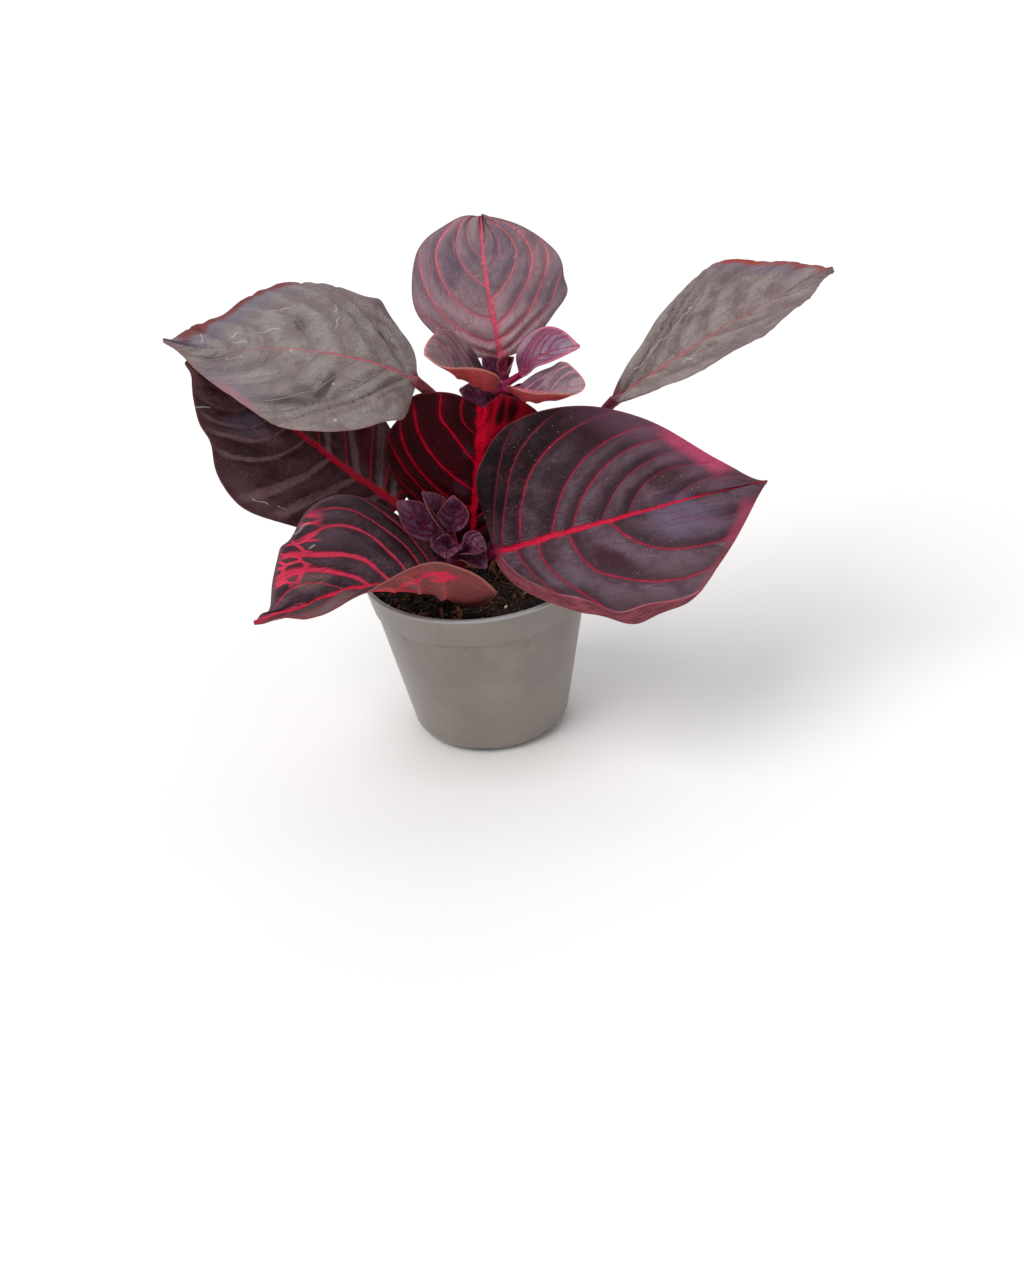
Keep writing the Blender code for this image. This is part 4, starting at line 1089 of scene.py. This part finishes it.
    ),
    # Its light colour, mixed in by noise, is partly painted sheen, standing for the grey highlights
    # on the crumpled leaves
    "young": Look(
        (56, 10, 40), (128, 84, 112), (92, 18, 54), (116, 18, 62), (96, 20, 54), (140, 30, 60),
        (116, 58, 70), (84, 24, 54), (96, 10, 52),
        rib_widths=(0.4, 0.25), rib_bold=(1, 0.5), halo_bold=0.4, edge_width=0.35, gain=1.15,
        roughness=0.38, specular=0.4,
    ),
}


def stem_material():
    g = Graph("stem", 0.38, 0.4)
    place = g.place()
    x, y, height = g.split(place)
    streaks = g.noise(g.vector(x, y, height * 0.15), 900.0)
    colour = g.mix(g.ramp(streaks, 0.35, 0.65), srgb(84, 10, 46), srgb(142, 28, 78))
    low = g.fall(height, 0.042, 0.05)
    colour = g.mix(low * 0.5, colour, srgb(70, 18, 50))
    dusty = g.ramp(g.noise(place, 1400.0), 0.62, 0.75)
    colour = g.mix(dusty * 0.25, colour, srgb(150, 110, 130))
    g.bump(streaks, 0.2, 0.5)
    return g.finish(colour)


def soil_material():
    g = Graph("soil", 0.85, 0.25)
    place = g.place()
    tone = g.attribute("tone")
    patch = g.noise(place, 260.0, 4.0, 0.65)
    colour = g.mix(g.ramp(patch, 0.35, 0.7), srgb(20, 12, 11), srgb(52, 33, 24))
    crumb = g.cells(place, 1500.0, "F1")
    colour = g.mix(g.ramp(crumb, 0.2, 0.75), colour, srgb(12, 8, 8))
    colour = g.mix(tone * g.ramp(patch, 0.3, 0.8, 0.4, 1.0), colour, srgb(84, 54, 34))
    g.bump(crumb + g.noise(place, 900.0, 4.0, 0.7), 0.5, 0.9)
    return g.finish(colour, g.ramp(patch, 0.3, 0.7, 0.6, 0.95))


def bit_material():
    """Fibres, bark and grit: tone runs from dark brown through tan to chalky white."""
    g = Graph("soil_bits", 0.7, 0.3)
    place = g.place()
    tone = g.attribute("tone")
    patch = g.noise(place, 1200.0, 4.0, 0.6)
    brown = g.mix(g.ramp(tone, 0.0, 0.5), srgb(34, 21, 17), srgb(134, 86, 52))
    colour = g.mix(g.ramp(tone, 0.5, 1.0), brown, srgb(222, 206, 176))
    colour = g.mix(g.ramp(patch, 0.4, 0.75, 0.0, 0.55), colour, srgb(40, 25, 18))
    g.bump(patch, 0.3, 0.8)
    return g.finish(colour)


def pot_material():
    g = Graph("pot", 0.36, 0.45)
    place = g.place()
    x, y, z = g.split(place)
    broad = g.noise(place, 38.0, 4.0, 0.6)
    colour = g.mix(g.ramp(broad, 0.35, 0.65), srgb(124, 115, 110), srgb(139, 129, 123))
    angle = g.math("ARCTAN2", y, x)
    streak = g.noise(g.vector(angle * 60.0, 0.0, z * 40.0), 1.0, 3.0, 0.6)
    colour = g.mix(g.ramp(streak, 0.45, 0.75, 0.0, 0.16), colour, srgb(112, 102, 97))
    smear = g.ramp(g.noise(place, 120.0, 5.0, 0.7), 0.58, 0.75, 0.0, 0.22)
    colour = g.mix(smear, colour, srgb(158, 150, 144))
    # Painted shade: a blotchy darker band just below the band's step, where its overhang shades the
    # wall
    painted_step_shade = g.fall(z, 0.0365, 0.0385) * g.ramp(z, 0.03, 0.0372)
    painted_step_shade = painted_step_shade * g.ramp(g.noise(place, 260.0), 0.5, 0.75, 0.0, 0.5)
    colour = g.mix(painted_step_shade, colour, srgb(92, 80, 72))
    specks = g.fall(g.cells(place, 320.0, "F1"), 0.05, 0.1)
    specks = specks * g.ramp(g.noise(place, 90.0, 2.0), 0.6, 0.68)
    colour = g.mix(specks * 0.75, colour, srgb(58, 44, 36))
    # Painted highlight: the top of the lip is lighter and bluer grey, as where it catches the light
    # from above
    lip = g.ramp(z, 0.0448, 0.0456)
    colour = g.mix(lip * 0.8, colour, srgb(166, 166, 170))
    grain = g.noise(place, 5200.0, 2.0)
    g.bump(grain * 0.35 + streak * 0.35, 0.05, 0.35)
    return g.finish(colour, g.ramp(broad, 0.3, 0.7, 0.3, 0.44))


def floor_material():
    g = Graph("floor", 0.9, 0.1)
    return g.finish((0.93, 0.93, 0.93))


# Pieces

def place_piece(piece, node):
    """Gives a finished piece to the part's one body, in place of a node if there is one."""
    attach(piece, "root")
    if node:
        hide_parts(node)


def make_leaves():
    for number, (name, leaf) in enumerate(LEAVES.items(), 1):
        shape = Shape()
        large = leaf.left.half > SMALL_HALF
        rows, columns = (120, 28) if large else (64, 18)
        add_blade(
            shape, leaf, VEINS[name], "large" if large else "small", rows, columns, number,
            quilt=0.8 if large else 0.3, rough=LUMPS.get(name, 0.35), dents=DENTS.get(name, ()),
            crease=CREASES.get(name, 0.12),
        )
        piece = shape.piece(name + "_fine", [leaf_material(name, LOOKS[name], number)])
        place_piece(piece, name)


def add_tube(shape, line, radii, sides, wobble=0.0, tone=0.0, seed=0.0):
    line = np.asarray(line, float)
    tangents = unit(np.gradient(line, axis=0))
    across = unit(np.cross(tangents, (0.3, 1.0, 0.1)))
    other = np.cross(tangents, across)
    angles = 2 * np.pi * np.arange(sides) / sides
    points = []
    for centre, one, two, radius in zip(line, across, other, radii):
        for a in angles:
            r = radius * (1 + wobble * math.sin(3 * a + seed))
            points.append(centre + r * (one * math.cos(a) + two * math.sin(a)))
    ends = [list(range(sides))[::-1], list(range(len(points) - sides, len(points)))]
    shape.add(points, ring_faces(len(line), sides) + ends, tone=tone)


def make_stems(materials):
    for number, (name, stem) in enumerate(STEMS.items()):
        shape = Shape()
        line = smooth_line(stem.line, steps=24)
        nodes = [leaf.node for leaf in list(LEAVES.values()) + YOUNG[name] if leaf.stem == name]
        radii = []
        for point in line:
            swell = max(math.exp(-(((point[2] - node) / NODE_REACH) ** 2)) for node in nodes)
            end = min(1.0, 0.35 + (line[-1][2] - point[2]) / 1.5)
            radii.append(stem_radius(stem, point[2]) * (1 + NODE_SWELL * swell) * end)
        add_tube(shape, line, radii, 28, wobble=0.05, seed=number)
        for count, leaf in enumerate(YOUNG[name]):
            add_blade(
                shape, leaf, YOUNG_VEINS, "young", 44, 12, 40 + 7 * number + count, slot=1,
                thick=0.4, quilt=0.4, rough=0.8,
            )
        place_piece(shape.piece(f"stem_{name}_fine", materials), f"stem_{name}")


def wall_radius(height):
    return BASE_RADIUS + TAPER * height


def cavity_radius(height):
    return RIM_RADIUS - LIP_BULGE - TAPER * (POT_HEIGHT - height) - WALL


def soil_height(x, y):
    dome = SOIL_DOME * (1 - (x * x + y * y) / RIM_RADIUS**2)
    lumps = sum(
        share * noise.noise((x * fine, y * fine, seed)) for fine, share, seed in LUMP_SCALES
    )
    return SOIL_LEVEL + dome + SOIL_ROUGHNESS * lumps


def fine_soil_height(x, y):
    crumbs = noise.fractal((x * 0.7, y * 0.7, 5.0), 0.8, 2.2, 4)
    return soil_height(x, y) + CRUMB_ROUGHNESS * crumbs


def lump(centre, size, stretch, seed, subdivisions=1):
    """A small irregular grain."""
    ball = bmesh.new()
    bmesh.ops.create_icosphere(ball, subdivisions=subdivisions, radius=1.0)
    spin = Matrix.Rotation(seed * 2.4, 3, Vector((math.sin(seed), math.cos(seed * 1.7), 0.6)))
    points = []
    for vertex in ball.verts:
        away = vertex.co * (1 + 0.55 * noise.noise(vertex.co * 1.6 + Vector((seed * 7.1, 0, 0))))
        away = spin @ Vector(away[k] * stretch[k] for k in range(3))
        points.append([centre[k] + away[k] * size for k in range(3)])
    faces = [[v.index for v in face.verts] for face in ball.faces]
    ball.free()
    return points, faces


def make_soil(soil_look, bit_look):
    rings, sides = 90, 240
    edge = cavity_radius(SOIL_LEVEL - SOIL_ROUGHNESS) - 0.3
    angles = 2 * np.pi * np.arange(sides) / sides
    points = [(0.0, 0.0, fine_soil_height(0.0, 0.0))]
    for ring in range(1, rings + 1):
        radius = edge * (ring / rings) ** 0.9
        for a in angles:
            x, y = radius * math.cos(a), radius * math.sin(a)
            points.append((x, y, fine_soil_height(x, y)))
    depth = (37.0, 20.0, 6.0, 3.0)
    for height in depth:
        radius = wall_radius(height) - WALL - 0.5 if height > 5 else SLOT_INNER
        points += [(radius * math.cos(a), radius * math.sin(a), height) for a in angles]
    points.append((0.0, 0.0, 3.0))
    shape = Shape()
    shape.add(points, capped_faces(rings + len(depth), sides))
    place_piece(shape.piece("soil_fine", [soil_look], sharp=180), "soil")

    bits = Shape()
    clear = [stem_at(stem, SOIL_LEVEL)[:2] for stem in STEMS.values()]

    def spot(most):
        while True:
            radius, a = most * math.sqrt(RANDOM.random()), RANDOM.random() * 2 * math.pi
            x, y = radius * math.cos(a), radius * math.sin(a)
            if all(math.hypot(x - c[0], y - c[1]) > STEM_ROOM for c in clear):
                return x, y

    def add_grain(x, y, rise, size, stretch, seed, tone, subdivisions=1):
        centre = (x, y, fine_soil_height(x, y) + rise)
        bits.add(*lump(centre, size, stretch, seed, subdivisions), tone=tone)

    for number in range(CRUMB_COUNT):
        x, y = spot(edge - 0.8)
        size = 0.28 + 0.75 * RANDOM.random() ** 3
        stretch = (1, 0.6 + 0.4 * RANDOM.random(), 0.5 + 0.4 * RANDOM.random())
        tone = 0.04 + 0.2 * RANDOM.random() ** 2
        add_grain(x, y, size * 0.25, size, stretch, number * 1.37, tone)
    for number in range(BARK_COUNT):
        x, y = spot(edge - 2.5)
        size, tone = 0.9 + 1.1 * RANDOM.random(), 0.22 + 0.3 * RANDOM.random()
        add_grain(x, y, 0.3, size, (1.3, 0.5, 0.28), 50 + number * 2.1, tone, 2)
    for number, (x, y, size, tone) in enumerate(CHOSEN_GRAINS):
        add_grain(x, y, 0.5, size, (1, 0.8, 0.7), 9 + number, tone, 2)
    for number in range(PERLITE_COUNT):
        x, y = spot(edge - 1.5)
        size, tone = 0.2 + 0.3 * RANDOM.random(), 0.6 + 0.35 * RANDOM.random()
        add_grain(x, y, size, size, (1, 0.9, 0.8), 300 + number, tone)
    for number in range(FIBRE_COUNT):
        x, y = spot(edge - 2.0)
        a, length = RANDOM.random() * 2 * math.pi, 1.5 + 4.5 * RANDOM.random() ** 2
        turn, lift = (RANDOM.random() - 0.5) * 2.2, RANDOM.random() * 1.1
        line = []
        for step in range(FIBRE_STEPS + 1):
            share = step / FIBRE_STEPS
            heading = a + turn * share
            x += math.cos(heading) * length / FIBRE_STEPS
            y += math.sin(heading) * length / FIBRE_STEPS
            if math.hypot(x, y) > edge - 0.6:
                break
            line.append((x, y, fine_soil_height(x, y) + 0.1 + lift * math.sin(math.pi * share)))
        if len(line) > 3:
            thick = 0.05 + 0.09 * RANDOM.random()
            radii = [thick * (1 - 0.6 * k / len(line)) for k in range(len(line))]
            add_tube(bits, line, radii, 5, tone=0.15 + 0.4 * RANDOM.random())
    place_piece(bits.piece("soil_bits", [bit_look], sharp=75), None)


# Pot

def arc(centre, radius, start, end, steps):
    return [
        (
            centre[0] + radius * math.cos(math.radians(start + (end - start) * k / steps)),
            centre[1] + radius * math.sin(math.radians(start + (end - start) * k / steps)),
        )
        for k in range(steps + 1)
    ]


def corner_points(radius, corner, floor):
    """The rounded foot of a wall that leans out by the pot's taper."""
    turn = math.pi / 2 - math.atan(TAPER)
    centre = (radius - corner * math.tan(turn / 2), floor + corner)
    return arc(centre, corner, -90, math.degrees(turn) - 90, 10)


def turned(name, outline, sides):
    """A solid of revolution; its outline starts and ends on the axis."""
    angles = math.radians(SLOT_START) + 2 * math.pi * np.arange(sides) / sides
    points = [(0.0, 0.0, outline[0][1])]
    for radius, height in outline[1:-1]:
        points += [(radius * math.cos(a), radius * math.sin(a), height) for a in angles]
    points.append((0.0, 0.0, outline[-1][1]))
    shape = Shape()
    shape.add(points, capped_faces(len(outline) - 2, sides))
    return shape.piece(name, [], 40)


def ring_sector(name, inner, outer, bottom, top, start, angle, steps=20):
    """A block between two radii, two heights and two directions."""
    points = []
    for step in range(steps + 1):
        a = math.radians(start + angle * step / steps)
        for radius, height in ((inner, bottom), (outer, bottom), (outer, top), (inner, top)):
            points.append((radius * math.cos(a), radius * math.sin(a), height))
    ends = [[0, 1, 2, 3], [4 * steps + k for k in range(4)]]
    shape = Shape()
    shape.add(points, ring_faces(steps + 1, 4) + ends)
    return shape.piece(name, [], 40)


def make_pot(look):
    sides = 180
    band_bottom = POT_HEIGHT - BAND_HEIGHT
    band_radius = RIM_RADIUS - LIP_BULGE - TAPER * BAND_HEIGHT
    lip = arc((RIM_RADIUS - LIP_RADIUS, POT_HEIGHT - LIP_RADIUS), LIP_RADIUS, -40, 90, 8)
    outer = [(0, 0), (SLOT_INNER - 2, 0)] + corner_points(BASE_RADIUS, CORNER_RADIUS, 0)
    outer += [
        (band_radius - BAND_STEP, band_bottom - STEP_SLOPE),
        (band_radius - 0.2, band_bottom - 0.08), (band_radius, band_bottom + 0.12),
        (RIM_RADIUS - LIP_BULGE, POT_HEIGHT - LIP_HEIGHT),
    ]
    pot = turned("pot_fine", outer + lip + [(0, POT_HEIGHT)], sides)
    step = band_bottom + WALL
    inner = [(0, WALL)]
    inner += corner_points(BASE_RADIUS - WALL + TAPER * WALL, CORNER_RADIUS - WALL, WALL)
    inner += [(cavity_radius(step) - BAND_STEP, step - STEP_SLOPE), (cavity_radius(step), step)]
    rim = cavity_radius(POT_HEIGHT)
    inner += [(rim - 0.06, POT_HEIGHT - 0.3), (rim + 0.08, POT_HEIGHT - 0.1)]
    inner += [(rim + 0.3, POT_HEIGHT), (rim + 0.3, POT_HEIGHT + 2), (0, POT_HEIGHT + 2)]
    cavity = turned("cavity", inner, sides)
    cutters, helpers = [], [cavity]
    margin = math.degrees(WALL / DRAIN_CIRCLE)

    def cut(target, other):
        modifier = target.modifiers.new("cut", "BOOLEAN")
        modifier.operation = "DIFFERENCE"
        modifier.object = other
        other.hide_render = True

    for number in range(SLOT_COUNT):
        start = SLOT_START + number * 360 / SLOT_COUNT
        raised = ring_sector(
            f"raised_{number}", SLOT_INNER - WALL, RIM_RADIUS, -2, SLOT_HEIGHT + WALL,
            start - margin, SLOT_ANGLE + 2 * margin,
        )
        cut(cavity, raised)
        helpers.append(raised)
        cutters.append(ring_sector(
            f"slot_{number}", SLOT_INNER, RIM_RADIUS, -2, SLOT_HEIGHT, start, SLOT_ANGLE
        ))
        for offset in (-DRAIN_OFFSET, DRAIN_OFFSET):
            a = math.radians(start + SLOT_ANGLE / 2 + offset)
            foot = np.array((DRAIN_CIRCLE * math.cos(a), DRAIN_CIRCLE * math.sin(a), 0))
            shape = Shape()
            add_tube(shape, [foot, foot + (0, 0, SLOT_HEIGHT + WALL + 2)], [DRAIN_RADIUS] * 2, 24)
            cutters.append(shape.piece(f"drain_{number}_{offset:+.0f}", [], 40))
    cut(pot, cavity)
    for cutter in cutters:
        cut(pot, cutter)
    bpy.context.view_layer.update()
    evaluated = pot.evaluated_get(bpy.context.evaluated_depsgraph_get())
    mesh = bpy.data.meshes.new_from_object(evaluated)
    pot.modifiers.clear()
    pot.data = mesh
    for helper in helpers + cutters:
        bpy.data.objects.remove(helper, do_unlink=True)
    mesh.materials.clear()
    mesh.materials.append(look)
    mesh.shade_smooth()
    mesh.set_sharp_from_angle(angle=math.radians(32))
    place_piece(pot, "pot")


# Scene

def make_floor():
    floor = Shape()
    size = 4000.0
    corners = [(-size, -size, 0), (size, -size, 0), (size, size, 0), (-size, size, 0)]
    floor.add(corners, [[0, 1, 2, 3]])
    piece = floor.piece("floor", [floor_material()])


def sun_light(name, location, strength, angle, colour=(1, 1, 1)):
    data = bpy.data.lights.new(name, "SUN")
    data.energy = strength
    data.angle = math.radians(angle)
    data.color = colour
    lamp = bpy.data.objects.new(name, data)
    bpy.context.scene.collection.objects.link(lamp)
    lamp.location = location
    lamp.rotation_euler = Vector(location).to_track_quat("Z", "Y").to_euler()


def make_light():
    scene = bpy.context.scene
    world = bpy.data.worlds.new("studio")
    world.use_nodes = True
    world.node_tree.nodes["Background"].inputs["Color"].default_value = (1.0, 1.0, 1.0, 1.0)
    world.node_tree.nodes["Background"].inputs["Strength"].default_value = 0.56
    scene.world = world
    sun_light("key", (-0.6, -0.4, 1.0), 1.75, 42.0, (1.0, 0.99, 0.975))
    sun_light("back", (0.15, 0.6, 0.8), 0.5, 50.0)
    scene.view_settings.view_transform = "Standard"
    scene.view_settings.look = "None"
    scene.view_settings.exposure = 0.0
    scene.view_settings.gamma = 1.0


def make_camera():
    elevation, roll, distance = math.radians(30.5), math.radians(5.5), 470.0
    aim = Vector((7.0, 0.0, 22.0))
    back = Vector((0.0, -math.cos(elevation), math.sin(elevation)))
    right = Vector((1.0, 0.0, 0.0))
    up = back.cross(right)
    across = right * math.cos(roll) - up * math.sin(roll)
    above = right * math.sin(roll) + up * math.cos(roll)
    data = bpy.data.cameras.new("camera")
    data.lens = 50.0
    data.sensor_width = 36.0
    data.sensor_fit = "AUTO"
    data.clip_start = 0.01
    camera = bpy.data.objects.new("camera", data)
    bpy.context.scene.collection.objects.link(camera)
    turn = Matrix((across, above, back)).transposed().to_4x4()
    camera.matrix_world = Matrix.Translation((aim + back * distance) * MM) @ turn
    bpy.context.scene.camera = camera


make_camera()
make_leaves()
make_stems([stem_material(), leaf_material("young", LOOKS["young"], 20)])
make_soil(soil_material(), bit_material())
make_pot(pot_material())
make_floor()
make_light()
